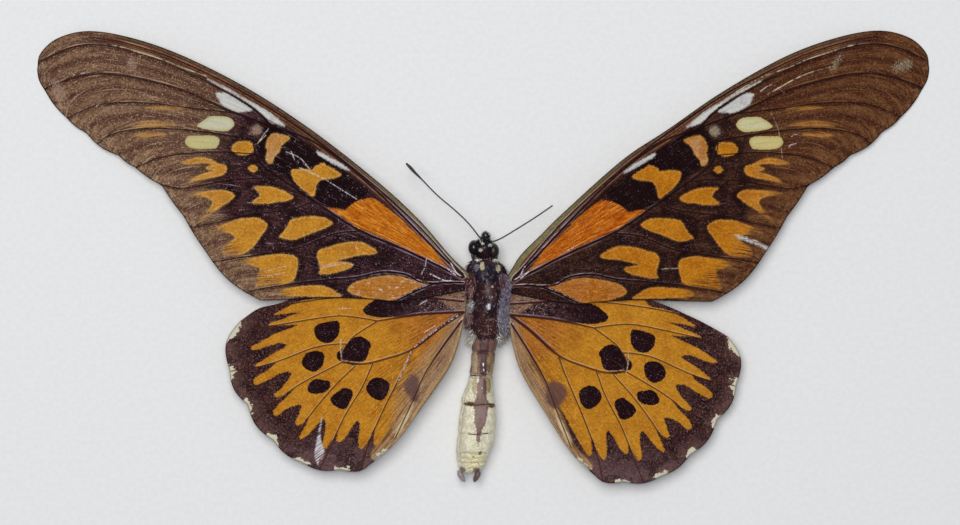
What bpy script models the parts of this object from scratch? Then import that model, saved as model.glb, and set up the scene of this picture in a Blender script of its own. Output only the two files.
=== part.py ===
"""A dried giant swallowtail butterfly, set with its wings spread, lying on its underside.

World frame in metres: the head points to +Y, the wings reach along X and +Z is up. The origin is under
the middle of the specimen, on the surface it lies on. Each wing is drawn once, as the left one, in
millimetres: out from the body, then forward. The right one is the same drawing, turned and moved.
"""
import math

import bpy
import bmesh
import numpy as np
from mathutils import Matrix, Vector
from mathutils.geometry import delaunay_2d_cdt

MM = 0.001
WINGSPAN = 210.0            # tip to tip, mm, as every number below
GAP = 0.3                   # left between neighbouring pieces

WING_THICKNESS = 0.3
ROOT_TOP = 7.2              # top of a forewing at the body
TIP_TOP = 0.36              # and at its tip, which touches the surface
ARCH = 1.6                  # how late the wing bends down: 1 would be a straight slope
HINDWING_DROP = 0.85        # the hindwing passes under the forewing
VEIN_HEIGHT = 0.26
VEIN_HALF_WIDTH = 0.75
VEIN_SPACING = 6.5
NEAREST_POINTS = 0.45       # points of the drawing nearer than this are one

LEFT = {"mirror": -1, "turn": 0.0, "reach": 1.0, "depth": 1.0, "move": (0.0, 0.0)}
RIGHT_FORE = {"mirror": 1, "turn": 0.6, "reach": 0.982, "depth": 1.0, "move": (2.55, -0.83)}
RIGHT_HIND = {"mirror": 1, "turn": -2.6, "reach": 0.98, "depth": 1.025, "move": (2.55, -0.16)}

FORE_COSTA = [(3.0, -4.2), (7.5, 0), (15, 8.6), (25, 17.8), (40, 29.5), (55, 39.3), (70, 46.9),
              (82, 51.2), (92.5, 53), (100, 51.4), (104.2, 47.8), (105, 44)]
FORE_COSTA_RIGHT = [(3.0, -4.2), (4.3, -2.2), (6.6, 1.2), (11.3, 5.7), (17, 11.1), (31, 23.1), (42, 30.2),
                    (55, 38.8), (70, 46.9), (82, 51.2), (92.5, 53), (100, 51.4), (104.2, 47.8), (105, 44)]
FORE_NOTCHES = [(105, 44), (103.3, 39.3), (97.9, 32.5), (93.5, 29.2), (85.7, 23.7), (81.8, 20.9),
                (75.5, 16.7), (70.3, 9.4), (65.2, 1.2), (52.1, -10.4)]
FORE_LOBES = [0.45, 0.45, 0.35, 0.8, 0.25, 0.3, 0.2, 0.2, 1.5]
FORE_HIND_EDGE = [(52.1, -10.4), (45, -10.2), (35, -9.8), (25, -10.2), (20, -10.6), (12, -9.6), (3.0, -7.8)]
FORE_VEINS = {
    "stem": [(5, -4.3), (10, 0.4), (20, 10.6), (30, 19.8), (40, 27), (50, 30.4)],
    "costal": [(7, -1.8), (15, 7.0), (25, 16.2), (40, 28), (55, 37.8), (70, 45.3), (82, 49.6), (91, 51.4)],
    "radial_1": [(50, 30.4), (55, 35), (65, 41), (75, 45.7), (85, 49), (93.7, 49.9), (103.1, 46.3)],
    "radial_3": [(50, 30.4), (60, 34.4), (70, 38.8), (80, 41.6), (93.7, 42.6), (102.4, 39.6)],
    "radial_5": [(58.8, 33.7), (70, 35), (80, 36.1), (90, 35.7), (97, 33)],
    "cell_end": [(50, 30.4), (52.3, 27.4), (53.6, 24.9)],
    "cell_floor": [(5.3, -4.8), (15, 0), (30, 6.65), (40, 13.2), (50, 20), (53.6, 24.9)],
    "medial_1": [(53.2, 26.4), (60, 28.4), (70, 29.7), (80, 30), (87.5, 28.6), (89.7, 27)],
    "medial_2": [(53.2, 24), (60, 24.3), (70, 24.2), (78, 22.6), (81, 21.2)],
    "medial_3": [(48.7, 18.4), (55, 18.1), (65, 17), (74.3, 16.4)],
    "cubital_1": [(40, 13.2), (45, 11.2), (55, 9.7), (69, 8.9)],
    "cubital_2": [(29, 6.2), (40, 4.2), (50, 0.9), (63.4, 0)],
    "anal": [(9.5, -6.1), (17, -5.2), (27, -4.3), (40, -5.9), (50, -7.3), (55.5, -8.2)],
    "axillary": [(4.6, -6.4), (12.5, -6.9), (20, -9.8)],
}

HIND_COSTA = [(3.5, -7.6), (12, -6.4), (25, -5.8), (38, -7.6), (47.6, -11), (52.7, -12.3), (57, -15.2)]
HIND_COSTA_RIGHT = [(3.5, -7.6), (12, -6.4), (25, -5.8), (38, -8.2), (47.6, -11.5), (53.4, -14), (57, -15.8)]
HIND_NOTCHES = [(57, -15.2), (59.6, -26.6), (55.3, -34.9), (49.2, -43.3), (42.5, -48.5), (33.5, -50.1),
                (25, -47)]
HIND_LOBES = [2.1, 1.2, 1.25, 0.8, 1.0, 1.9]
HIND_INNER_EDGE = [(25, -47), (20, -43.2), (14, -35.1), (8, -26.4), (5.5, -20), (4.3, -14), (3.5, -7.6)]
HIND_VEINS = {
    "cell_roof": [(5, -13.2), (15, -13.7), (24.7, -15.2)],
    "costal": [(24.7, -15.2), (35, -14.1), (45, -15.6), (56, -17.6)],
    "humeral": [(5, -10.6), (20, -9.4), (35, -10.2), (49.5, -13)],
    "cell_end": [(24.7, -15.2), (30, -18.6), (32.9, -22.5), (33, -24.9)],
    "medial_1": [(32.6, -20.8), (40, -21.6), (50, -25.4), (58.6, -26.6)],
    "medial_2": [(33, -24.9), (42.5, -29.8), (50.2, -35.3), (53.6, -38.2)],
    "medial_3": [(30, -25.8), (35, -30.7), (42, -39.1), (47.2, -45)],
    "cubital_1": [(25.9, -25.3), (30, -33.3), (33.8, -40.9), (38, -49.8)],
    "cubital_2": [(16.6, -22.3), (20, -30.1), (25.7, -41.4), (28.5, -49.2)],
    "cell_floor": [(5, -13.2), (10, -16.8), (16.6, -22.1), (25.9, -25.3), (33, -24.9)],
    "anal": [(5.6, -16), (9.8, -21.8), (16.6, -34.3), (21.5, -43.4)],
}

SPINE = [(-60, -3.6), (-50, -2.9), (-46, -2.3), (-41, -1.4), (-35, -1.1), (-28, -0.45), (-22, 0.15),
         (-19, 0.8), (-16, 1.1), (-12, 1.3), (-8, 1.3), (-4, 1.05), (-1, 0.5), (2, 0.2), (8, 0.2)]
# Body sections: place along Y, half width, lowest point, highest point.
THORAX = [(-0.9, 2.7, 2.4, 6.6), (-2.0, 3.7, 1.7, 7.8), (-4.0, 4.2, 0.7, 8.9), (-6.0, 4.5, 0, 9.3),
          (-9.0, 4.6, 0, 9.5), (-12.0, 4.55, 0, 9.3), (-14.5, 4.3, 0, 8.8), (-17.0, 3.6, 0.6, 8.0),
          (-18.8, 2.7, 1.4, 7.2)]
ABDOMEN = [(-19.2, 2.3, 1.7, 6.7), (-20.3, 2.8, 1.1, 7.0), (-22.4, 2.85, 0.8, 7.1), (-24.5, 2.8, 0.7, 7.2),
           (-27.6, 2.75, 0.5, 7.2), (-30.5, 3.1, 0.3, 7.4), (-33.4, 3.9, 0.1, 7.6), (-35.0, 4.0, 0.1, 7.6),
           (-38.0, 4.4, 0, 7.7), (-41.4, 4.4, 0, 7.6), (-44.0, 4.4, 0, 7.4), (-46.3, 4.0, 0.1, 7.0),
           (-48.4, 3.4, 0.5, 6.4), (-49.6, 2.8, 1.0, 5.8), (-50.2, 2.1, 1.7, 5.0)]
ABDOMEN_SEAMS = [-22.4, -27.6, -34.6, -41.4, -46.3, -48.4]
SEAM_DEPTH = 0.22
SEAM_HALF_LENGTH = 0.35
SECTION_POINTS = 20

HEAD = {"centre": (0.2, 1.75, 4.6), "half": (2.35, 2.15, 2.35)}
EYES = {"left": (-2.1, 2.0, 4.6), "right": (2.5, 1.25, 4.6)}
EYE_HALF = (1.35, 1.8, 1.9)
PALPS = {"left": 0.25, "right": 1.05}
ANTENNA_RADIUS = 0.18
ANTENNAE = {
    "left": [(-0.5, 4.1, 6.0), (-2.5, 6.7, 6.2), (-4.3, 8.7, 6.4), (-6.9, 11.1, 6.6), (-10, 13.7, 6.8),
             (-12.1, 15.7, 6.9), (-14.2, 17.9, 7.0), (-16.0, 19.7, 7.1), (-17.0, 20.8, 7.1), (-18, 21.8, 7.1)],
    "right": [(2.0, 3.3, 6.0), (4.5, 4.3, 6.2), (9.3, 7.2, 6.4), (12.9, 9.5, 6.6), (16.4, 11.9, 6.7)],
}
CLUB_SWELL = {"left": [1, 1, 1, 1, 1, 1, 1.1, 2.2, 2.5, 1.3], "right": [1] * 5}
TEGULA = {"out": 4.0, "y": -6.9, "z": 8.75, "half": (1.5, 2.8, 0.4), "slope": 34}
CLASPERS = {"left": ((-4.75, -51.85, 3.6), 24), "right": ((-1.5, -51.9, 3.6), -18)}
CLASPER_HALF = (0.72, 1.4, 1.1)
COIL = {"centre": (0.3, 3.05, 1.45), "outer": 0.95, "inner": 0.3, "turns": 1.75, "radius": 0.13}

# Leg joints out from the spine: (out, y, z), and the leg's radius there. From above, body and wings hide
# the legs: the middle ones lie under the hindwings and the hind ones under the abdomen.
LEGS = {
    "foreleg": [((1.7, -1.9, 1.5), 0.36), ((2.6, -0.6, 1.4), 0.4), ((2.9, 1.6, 1.1), 0.34),
                ((2.5, 2.7, 0.8), 0.28), ((1.9, 1.4, 0.45), 0.24), ((1.6, -0.4, 0.35), 0.18),
                ((1.5, -1.7, 0.3), 0.14)],
    "midleg": [((4.0, -6.8, 1.0), 0.36), ((5.2, -8.8, 1.2), 0.42), ((6.0, -10.6, 1.1), 0.36),
               ((6.2, -13.0, 0.8), 0.28), ((6.8, -16.0, 0.6), 0.24), ((8.0, -18.6, 0.4), 0.18),
               ((9.3, -21.2, 0.3), 0.14)],
    "hindleg": [((3.7, -11.2, 0.9), 0.36), ((4.1, -13.0, 1.0), 0.42), ((3.7, -14.9, 0.9), 0.36),
                ((2.7, -17.4, 0.65), 0.28), ((1.9, -20.4, 0.45), 0.22), ((1.5, -23.2, 0.34), 0.17),
                ((1.4, -25.8, 0.3), 0.14)],
}

COLOURS = {
    "forewing_scales": ((0.06, 0.032, 0.022), 0.75), "hindwing_scales": ((0.50, 0.21, 0.02), 0.75),
    "thorax_hair": ((0.03, 0.015, 0.016), 0.85), "abdomen_scales": ((0.60, 0.56, 0.38), 0.8),
    "head_hair": ((0.012, 0.01, 0.012), 0.8), "eye_lens": ((0.008, 0.008, 0.01), 0.2),
    "tegula_scales": ((0.07, 0.025, 0.02), 0.7), "clasper_shell": ((0.45, 0.38, 0.27), 0.6),
    "leg_shell": ((0.03, 0.018, 0.012), 0.6), "antenna_shell": ((0.012, 0.01, 0.01), 0.5),
}


def clear_scene():
    for item in list(bpy.data.objects):
        bpy.data.objects.remove(item, do_unlink=True)


def new_collection(name):
    group = bpy.data.collections.new(name)
    bpy.context.scene.collection.children.link(group)
    return group


def finish_material(name):
    """One dry, opaque finish, from the table of colours."""
    if name in bpy.data.materials:
        return bpy.data.materials[name]
    colour, roughness = COLOURS[name]
    material = bpy.data.materials.new(name)
    material.use_nodes = True
    shader = material.node_tree.nodes["Principled BSDF"]
    shader.inputs["Base Color"].default_value = (*colour, 1)
    shader.inputs["Roughness"].default_value = roughness
    shader.inputs["Metallic"].default_value = 0
    material.diffuse_color = (*colour, 1)
    return material


def add_object(group, name, data, finish=None):
    item = bpy.data.objects.new(name, data)
    group.objects.link(item)
    if finish:
        data.materials.append(finish_material(finish))
    return item


def curve_through(points, spacing):
    """A smooth curve through the points: Catmull-Rom, sampled about every spacing millimetres."""
    p = np.array(points, float)
    p = np.vstack([2 * p[0] - p[1], p, 2 * p[-1] - p[-2]])
    rows = []
    for a, b, c, d in zip(p[:-3], p[1:-2], p[2:-1], p[3:]):
        steps = max(1, round(float(np.linalg.norm(c - b)) / spacing))
        t = (np.arange(steps) / steps)[:, None]
        rows.append(0.5 * (2 * b + (c - a) * t + (2 * a - 5 * b + 4 * c - d) * t ** 2
                           + (3 * b - a - 3 * c + d) * t ** 3))
    return np.vstack(rows + [p[-2][None]])


def lobed_edge(notches, bulges, spacing):
    """Between two notches the margin swells outwards as half a sine wave."""
    rows = []
    for start, end, bulge in zip(notches[:-1], notches[1:], bulges):
        a, b = np.array(start, float), np.array(end, float)
        run = b - a
        length = np.linalg.norm(run)
        outward = np.array([-run[1], run[0]]) / length
        steps = max(2, round(length / spacing))
        t = (np.arange(steps) / steps)[:, None]
        rows.append(a + run * t + outward * bulge * np.sin(math.pi * t))
    return np.vstack(rows + [np.array(notches[-1], float)[None]])


def outline(costa, notches, bulges, last_edge):
    """A wing's margin from its root: the costa, the lobes from the costa's end on, and the last edge."""
    lobes = lobed_edge([costa[-1]] + notches[1:], bulges, 3.2)
    edge = [curve_through(costa, 6), lobes, curve_through(last_edge, 6)]
    return np.vstack([part[:-1] for part in edge])


def distance_to(points, path):
    """Shortest distance of each point from a path of straight runs."""
    best = np.full(len(points), np.inf)
    for a, b in zip(path[:-1], path[1:]):
        run = b - a
        t = np.clip((points - a) @ run / (run @ run), 0, 1)
        best = np.minimum(best, np.linalg.norm(points - a - t[:, None] * run, axis=1))
    return best


def beside(path, offset):
    """The path moved sideways by offset."""
    run = np.gradient(path, axis=0)
    run /= np.linalg.norm(run, axis=1)[:, None]
    return path + offset * np.stack([-run[:, 1], run[:, 0]], axis=1)


def triangulate(edge, veins):
    """Triangles inside the margin that follow each vein's crest and its two feet."""
    points = [tuple(p) for p in edge]
    links = []

    def index_of(p):
        away = np.linalg.norm(np.array(points) - p, axis=1)
        nearest = int(np.argmin(away))
        if away[nearest] < NEAREST_POINTS:
            return nearest
        points.append(tuple(p))
        return len(points) - 1

    crest_rows = [[index_of(p) for p in vein] for vein in veins]
    for vein in veins:
        for offset in (-VEIN_HALF_WIDTH, VEIN_HALF_WIDTH):
            for p in beside(vein, offset):
                if min(float(distance_to(p[None], other)[0]) for other in veins) > VEIN_HALF_WIDTH * 0.8:
                    if distance_to(p[None], np.vstack([edge, edge[:1]]))[0] > NEAREST_POINTS:
                        index_of(p)
    for row in crest_rows:
        links += [(a, b) for a, b in zip(row[:-1], row[1:]) if a != b]
    margin = list(range(len(edge)))
    flat, _, faces, _, _, _ = delaunay_2d_cdt([Vector(p) for p in points], links, [margin], 1, 1e-4, True)
    return np.array([tuple(p) for p in flat]), [list(face) for face in faces]


def wing_top(x, drop):
    """Height of a wing's upper face: a gentle arch from the body down to the tip."""
    return ROOT_TOP - drop - (ROOT_TOP - TIP_TOP) * (np.abs(x) / (WINGSPAN / 2)) ** ARCH


def place_wing(points, place):
    """From the drawing (out, forward) to world X and Y."""
    angle = math.radians(place["turn"])
    out, forward = points[:, 0] * place["reach"], points[:, 1] * place["depth"]
    x = place["mirror"] * (out * math.cos(angle) - forward * math.sin(angle) + place["move"][0])
    y = out * math.sin(angle) + forward * math.cos(angle) + place["move"][1]
    return x, y


def add_wing(group, name, edge, veins, place, drop, finish):
    paths = [curve_through(points, VEIN_SPACING) for points in veins.values()]
    flat, faces = triangulate(edge, paths)
    vein_distance = np.min([distance_to(flat, path) for path in paths], axis=0)
    x, y = place_wing(flat, place)
    z = wing_top(x, drop) + VEIN_HEIGHT * np.clip(1 - vein_distance / VEIN_HALF_WIDTH, 0, 1)
    mesh = bpy.data.meshes.new(name)
    mesh.from_pydata((np.stack([x, y, z], axis=1) * MM).tolist(), [], faces)
    shell = bmesh.new()
    shell.from_mesh(mesh)
    bmesh.ops.delete(shell, geom=[v for v in shell.verts if not v.link_faces], context="VERTS")
    for face in shell.faces:
        face.normal_update()
        if face.normal.z < 0:
            face.normal_flip()
    shell.to_mesh(mesh)
    shell.free()
    wing = add_object(group, name, mesh, finish)
    solid = wing.modifiers.new("Membrane", "SOLIDIFY")
    solid.thickness = WING_THICKNESS * MM
    solid.offset = -1
    return wing


def spine_x(y):
    places, offsets = zip(*SPINE)
    return float(np.interp(y, places, offsets))


def section_ring(shell, y, half_width, low, high):
    """One upright oval section, centred on the spine, flat where it would pass below the surface."""
    middle = (low + high) / 2
    half_height = (high - low) / 2
    ring = []
    for n in range(SECTION_POINTS):
        angle = 2 * math.pi * n / SECTION_POINTS
        x = spine_x(y) + half_width * math.cos(angle)
        z = middle + half_height * math.sin(angle)
        if low == 0 and math.sin(angle) < -0.9:
            z = 0
        ring.append(shell.verts.new((x * MM, y * MM, z * MM)))
    return ring


def loft(group, name, sections, finish):
    """A closed body through the sections, with a flat end at each end."""
    shell = bmesh.new()
    rings = [section_ring(shell, *section) for section in sections]
    for first, second in zip(rings[:-1], rings[1:]):
        for n in range(SECTION_POINTS):
            m = (n + 1) % SECTION_POINTS
            shell.faces.new((first[n], first[m], second[m], second[n]))
    shell.faces.new(rings[0])
    shell.faces.new(rings[-1])
    bmesh.ops.recalc_face_normals(shell, faces=shell.faces)
    mesh = bpy.data.meshes.new(name)
    shell.to_mesh(mesh)
    shell.free()
    item = add_object(group, name, mesh, finish)
    mesh.shade_smooth()
    return item


def add_thorax(group):
    return loft(group, "thorax", THORAX, "thorax_hair")


def add_abdomen(group):
    """Rings that swell a little between the grooves where they join."""
    places = [row[0] for row in ABDOMEN][::-1]
    columns = [[row[n] for row in ABDOMEN][::-1] for n in (1, 2, 3)]

    def section(y, pinch):
        half_width, low, high = [float(np.interp(y, places, column)) for column in columns]
        lift = 0 if low == 0 else pinch
        return (y, half_width - pinch, low + lift, high - pinch)

    stations = {row[0]: 0 for row in ABDOMEN}
    for seam in ABDOMEN_SEAMS:
        stations[seam] = SEAM_DEPTH
        stations[seam - SEAM_HALF_LENGTH] = 0
        stations[seam + SEAM_HALF_LENGTH] = 0
    sections = [section(y, stations[y]) for y in sorted(stations, reverse=True)]
    return loft(group, "abdomen", sections, "abdomen_scales")


def ball(name, centre, half, segments=16, rings=10, turn=(0, 0, 0)):
    """An oval ball as a mesh: a sphere stretched to its half sizes, turned and moved."""
    shell = bmesh.new()
    bmesh.ops.create_uvsphere(shell, u_segments=segments, v_segments=rings, radius=1)
    stretch = Matrix.Diagonal((*[size * MM for size in half], 1))
    turned = Matrix.Identity(4)
    for axis, degrees in zip("XYZ", turn):
        turned = Matrix.Rotation(math.radians(degrees), 4, axis) @ turned
    shell.transform(Matrix.Translation([value * MM for value in centre]) @ turned @ stretch)
    mesh = bpy.data.meshes.new(name)
    shell.to_mesh(mesh)
    shell.free()
    mesh.shade_smooth()
    return mesh


def add_head(group, cutters):
    """The head's capsule, hollowed at each side where an eye sits."""
    head = add_object(group, "head", ball("head", HEAD["centre"], HEAD["half"], 20, 14), "head_hair")
    for side, centre in EYES.items():
        socket = ball("socket_" + side, centre, [size + GAP for size in EYE_HALF])
        cutter = add_object(cutters, "socket_" + side, socket)
        cutter.hide_render = True
        cutter.display_type = "WIRE"
        cut = head.modifiers.new("Socket " + side, "BOOLEAN")
        cut.operation = "DIFFERENCE"
        cut.object = cutter
        add_object(group, "eye_" + side, ball("eye_" + side, centre, EYE_HALF), "eye_lens")


def add_palps(group):
    """Two short scaly feelers that point forwards and up in front of the face."""
    for side, x in PALPS.items():
        mesh = ball("palp_" + side, (x, 4.35, 3.4), (0.34, 1.05, 0.5), 10, 8, (24, 0, 0))
        add_object(group, "palp_" + side, mesh, "head_hair")


def tube(group, name, points, radii, finish, resolution=2):
    """A round bar along the points, as thick at each one as its radius says."""
    curve = bpy.data.curves.new(name, "CURVE")
    curve.dimensions = "3D"
    curve.bevel_depth = MM
    curve.bevel_resolution = resolution
    curve.use_fill_caps = True
    spline = curve.splines.new("POLY")
    spline.points.add(len(points) - 1)
    for point, place, radius in zip(spline.points, points, radii):
        point.co = (place[0] * MM, place[1] * MM, place[2] * MM, 1)
        point.radius = radius
    return add_object(group, name, curve, finish)


def add_antennae(group):
    for side, points in ANTENNAE.items():
        radii = [ANTENNA_RADIUS * swell for swell in CLUB_SWELL[side]]
        tube(group, "antenna_" + side, points, radii, "antenna_shell")


def add_proboscis(group):
    """The sucking tube, rolled up like a watch spring under the head."""
    steps = 26
    t = np.linspace(0, 1, steps)
    angle = 2 * math.pi * COIL["turns"] * t + math.pi / 2
    radius = COIL["outer"] + (COIL["inner"] - COIL["outer"]) * t
    x, y, z = COIL["centre"]
    points = np.stack([np.full(steps, x), y + radius * np.cos(angle), z + radius * np.sin(angle)], axis=1)
    tube(group, "proboscis", points.tolist(), [COIL["radius"]] * steps, "leg_shell", 1)


def add_legs(group):
    """Six legs, folded in pairs under the body."""
    for leg, joints in LEGS.items():
        for side, sign in (("left", -1), ("right", 1)):
            points = [(spine_x(y) + sign * out, y, z) for (out, y, z), _ in joints]
            tube(group, f"{leg}_{side}", points, [radius for _, radius in joints], "leg_shell", 1)


def add_tegulae(group):
    """A flap of scales over each forewing's root."""
    for side, sign in (("left", -1), ("right", 1)):
        centre = (spine_x(TEGULA["y"]) + sign * TEGULA["out"], TEGULA["y"], TEGULA["z"])
        mesh = ball("tegula_" + side, centre, TEGULA["half"], 14, 8, (0, sign * TEGULA["slope"], 0))
        add_object(group, "tegula_" + side, mesh, "tegula_scales")


def add_claspers(group):
    for side, (centre, turn) in CLASPERS.items():
        mesh = ball("clasper_" + side, centre, CLASPER_HALF, 12, 8, (0, 0, turn))
        add_object(group, "clasper_" + side, mesh, "clasper_shell")


def add_wings(group):
    """The right wings' front edges were stretched a little differently from the left ones."""
    for side, fore_costa, hind_costa, fore_place, hind_place in (
            ("left", FORE_COSTA, HIND_COSTA, LEFT, LEFT),
            ("right", FORE_COSTA_RIGHT, HIND_COSTA_RIGHT, RIGHT_FORE, RIGHT_HIND)):
        fore_edge = outline(fore_costa, FORE_NOTCHES, FORE_LOBES, FORE_HIND_EDGE)
        hind_edge = outline(hind_costa, HIND_NOTCHES, HIND_LOBES, HIND_INNER_EDGE)
        add_wing(group, "forewing_" + side, fore_edge, FORE_VEINS, fore_place, 0, "forewing_scales")
        add_wing(group, "hindwing_" + side, hind_edge, HIND_VEINS, hind_place, HINDWING_DROP,
                 "hindwing_scales")


def main():
    clear_scene()
    butterfly = new_collection("Butterfly")
    cutters = new_collection("Cutters")
    add_wings(butterfly)
    add_thorax(butterfly)
    add_abdomen(butterfly)
    add_head(butterfly, cutters)
    add_palps(butterfly)
    add_antennae(butterfly)
    add_proboscis(butterfly)
    add_legs(butterfly)
    add_tegulae(butterfly)
    add_claspers(butterfly)


main()
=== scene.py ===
"""The looks of a dried giant swallowtail butterfly that lies spread on a pale surface.

The wings are drawn once, as the left ones, in millimetres: out from the body, then forward. The right
ones are the same drawing, turned and moved. Everything is built in metres in the frame of the solids.
"""
import math

import bpy
import numpy as np
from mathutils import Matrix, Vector


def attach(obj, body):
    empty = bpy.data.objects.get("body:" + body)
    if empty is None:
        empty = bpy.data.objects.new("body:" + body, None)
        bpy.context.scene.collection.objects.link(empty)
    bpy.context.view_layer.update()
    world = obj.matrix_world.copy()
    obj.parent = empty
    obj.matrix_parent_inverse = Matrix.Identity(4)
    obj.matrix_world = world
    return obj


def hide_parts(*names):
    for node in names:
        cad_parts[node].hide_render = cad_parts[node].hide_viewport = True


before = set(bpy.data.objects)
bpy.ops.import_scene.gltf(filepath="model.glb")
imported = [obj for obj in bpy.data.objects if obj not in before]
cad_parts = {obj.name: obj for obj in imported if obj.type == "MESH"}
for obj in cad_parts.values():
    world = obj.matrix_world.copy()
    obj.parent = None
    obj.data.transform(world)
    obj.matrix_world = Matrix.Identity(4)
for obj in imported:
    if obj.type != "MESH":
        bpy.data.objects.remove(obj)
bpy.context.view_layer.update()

MM = 0.001
SEED = 7
SIDES = (("left", -1), ("right", 1))        # the way each one lies along X

# The solids' own dimensions, repeated from the construction.
WINGSPAN = 210.0
ROOT_TOP = 7.2
TIP_TOP = 0.36
ARCH = 1.6
HINDWING_DROP = 0.85
LEFT = {"mirror": -1, "turn": 0.0, "reach": 1.0, "depth": 1.0, "move": (0.0, 0.0)}
RIGHT_FORE = {"mirror": 1, "turn": 0.6, "reach": 0.982, "depth": 1.0, "move": (2.55, -0.83)}
RIGHT_HIND = {"mirror": 1, "turn": -2.6, "reach": 0.98, "depth": 1.025, "move": (2.55, -0.16)}
SPINE = [(-60, -3.6), (-50, -2.9), (-46, -2.3), (-41, -1.4), (-35, -1.1), (-28, -0.45), (-22, 0.15),
         (-19, 0.8), (-16, 1.1), (-12, 1.3), (-8, 1.3), (-4, 1.05), (-1, 0.5), (2, 0.2), (8, 0.2)]

# Wing margins.
FORE_COSTA = [(3.0, -4.2), (7.5, 0), (15, 8.6), (25, 17.8), (40, 29.5), (55, 39.3), (70, 46.9),
              (82, 51.2), (92.5, 53), (100, 51.4), (104.2, 47.8), (105, 44)]
FORE_COSTA_RIGHT = [(3.0, -4.2), (4.3, -2.2), (6.6, 1.2), (11.3, 5.7), (17, 11.1), (31, 23.1), (42, 30.2),
                    (55, 38.8)] + FORE_COSTA[6:]
FORE_NOTCHES = [(105, 44), (103.3, 39.3), (97.9, 32.5), (93.5, 29.2), (85.7, 23.7), (81.8, 20.9),
                (75.5, 16.7), (70.3, 9.4), (65.2, 1.2), (52.1, -10.4)]
FORE_LOBES = [0.45, 0.45, 0.35, 0.8, 0.25, 0.3, 0.2, 0.2, 1.5]
FORE_HIND_EDGE = [(52.1, -10.4), (45, -10.2), (35, -9.8), (25, -10.2), (20, -10.6), (12, -9.6), (3.0, -7.8)]
HIND_COSTA = [(3.5, -7.6), (12, -6.4), (25, -5.8), (38, -7.6), (47.6, -11), (52.7, -12.3), (57, -15.2)]
HIND_COSTA_RIGHT = HIND_COSTA[:3] + [(38, -8.2), (47.6, -11.5), (53.4, -14), (57, -15.8)]
HIND_NOTCHES = [(57, -15.2), (59.6, -26.6), (55.3, -34.9), (49.2, -43.3), (42.5, -48.5), (33.5, -50.1),
                (25, -47)]
HIND_LOBES = [2.1, 1.2, 1.25, 0.8, 1.0, 1.9]
HIND_INNER_EDGE = [(25, -47), (20, -43.2), (14, -35.1), (8, -26.4), (5.5, -20), (4.3, -14)]

# Veins, from the body outwards, each after half its width.
FORE_VEINS = [
    (0.22, [(4.4, -4.8), (10, 0.4), (20, 10.6), (30, 19.8), (40, 27), (50, 30.6)]),
    (0.17, [(4.6, -4.2), (7, -1.8), (15, 7.0), (25, 16.2), (40, 28), (55, 37.8), (70, 45.3), (82, 49.6),
            (91, 51.4)]),
    (0.24, [(49.9, 30.8), (52.4, 33.5), (55.1, 35.5), (58.1, 37.35), (61.6, 39.3), (66, 41.6), (75, 45.7),
            (84, 48.6), (91, 49.8), (96, 49.3), (100, 47.9), (104, 46)]),
    (0.24, [(50, 30.6), (60, 34.4), (70, 38.8), (80, 41.6), (87, 42.8), (93.7, 42.6), (100, 40.7),
            (103.3, 39.3)]),
    (0.16, [(58.8, 33.7), (70, 35), (80, 36.1), (90, 35.7), (98, 32.6)]),
    (0.15, [(50, 30.4), (50.6, 29.1), (52.3, 27.2), (53.9, 26.5), (53.6, 24.9)]),
    (0.22, [(4.8, -5.0), (10, -2.5), (15, 0), (20, 2.2), (30, 6.65), (40, 13.2), (50, 20), (52.6, 22.4),
            (53.6, 24.9)]),
    (0.17, [(53.9, 27.3), (60, 28.4), (70, 29.7), (80, 30), (87.5, 28.6), (90.5, 26.5)]),
    (0.15, [(52.6, 23.7), (55, 24.1), (65, 24.5), (75, 23.4), (81.7, 20.9)]),
    (0.15, [(48.7, 17.9), (52, 18.3), (60, 17.75), (70, 16), (75.4, 16.8)]),
    (0.15, [(40, 12.8), (45, 11), (55, 9.7), (63, 7.8), (69.6, 6.6)]),
    (0.16, [(29, 5.9), (35, 5.2), (43, 2), (48.2, 1), (56, -0.2), (64, -1.4)]),
    (0.18, [(7.5, -6.2), (14.2, -6.2), (18, -4.3), (23.4, -3.7), (30, -5), (40, -5.9), (50, -7.3),
            (56.5, -8.6)]),
    (0.16, [(4.6, -6.2), (10, -6.2), (15, -7.9), (20, -10.3)]),
]
HIND_VEINS = [
    (0.16, [(4.6, -13.1), (15, -13.7), (24.7, -15.2)]),
    (0.13, [(24.7, -15.2), (30, -14.3), (35, -14.1), (45, -15.6), (54, -17.2)]),
    (0.13, [(4.6, -10.6), (20, -9.2), (35, -9.8), (46, -11.4), (51, -13)]),
    (0.13, [(24.7, -15.2), (30, -18.6), (31.6, -20.4), (32.9, -22.5), (33, -24.9)]),
    (0.13, [(32.2, -20.6), (35, -20.7), (40, -21.6), (50, -25.3), (59, -27)]),
    (0.13, [(33, -24.9), (42.5, -29.8), (47.7, -33.6), (53.8, -38.9)]),
    (0.13, [(30, -25.8), (35, -30.7), (40, -36.6), (44.1, -42.4), (47.4, -46)]),
    (0.13, [(25.9, -25.3), (28.3, -30.7), (32.5, -37.7), (35.9, -45), (38.4, -50.2)]),
    (0.14, [(16.6, -22), (18.4, -26.2), (23.1, -35.6), (26.7, -43.7), (28.6, -50.2)]),
    (0.2, [(4.6, -13.2), (10, -16.8), (16.6, -21.9), (22.8, -24.1), (28.1, -25.3), (33, -24.9)]),
    (0.14, [(5, -15.2), (9.8, -21.8), (13.7, -27.8), (16.6, -34.3), (20.5, -42.6)]),
]

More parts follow.
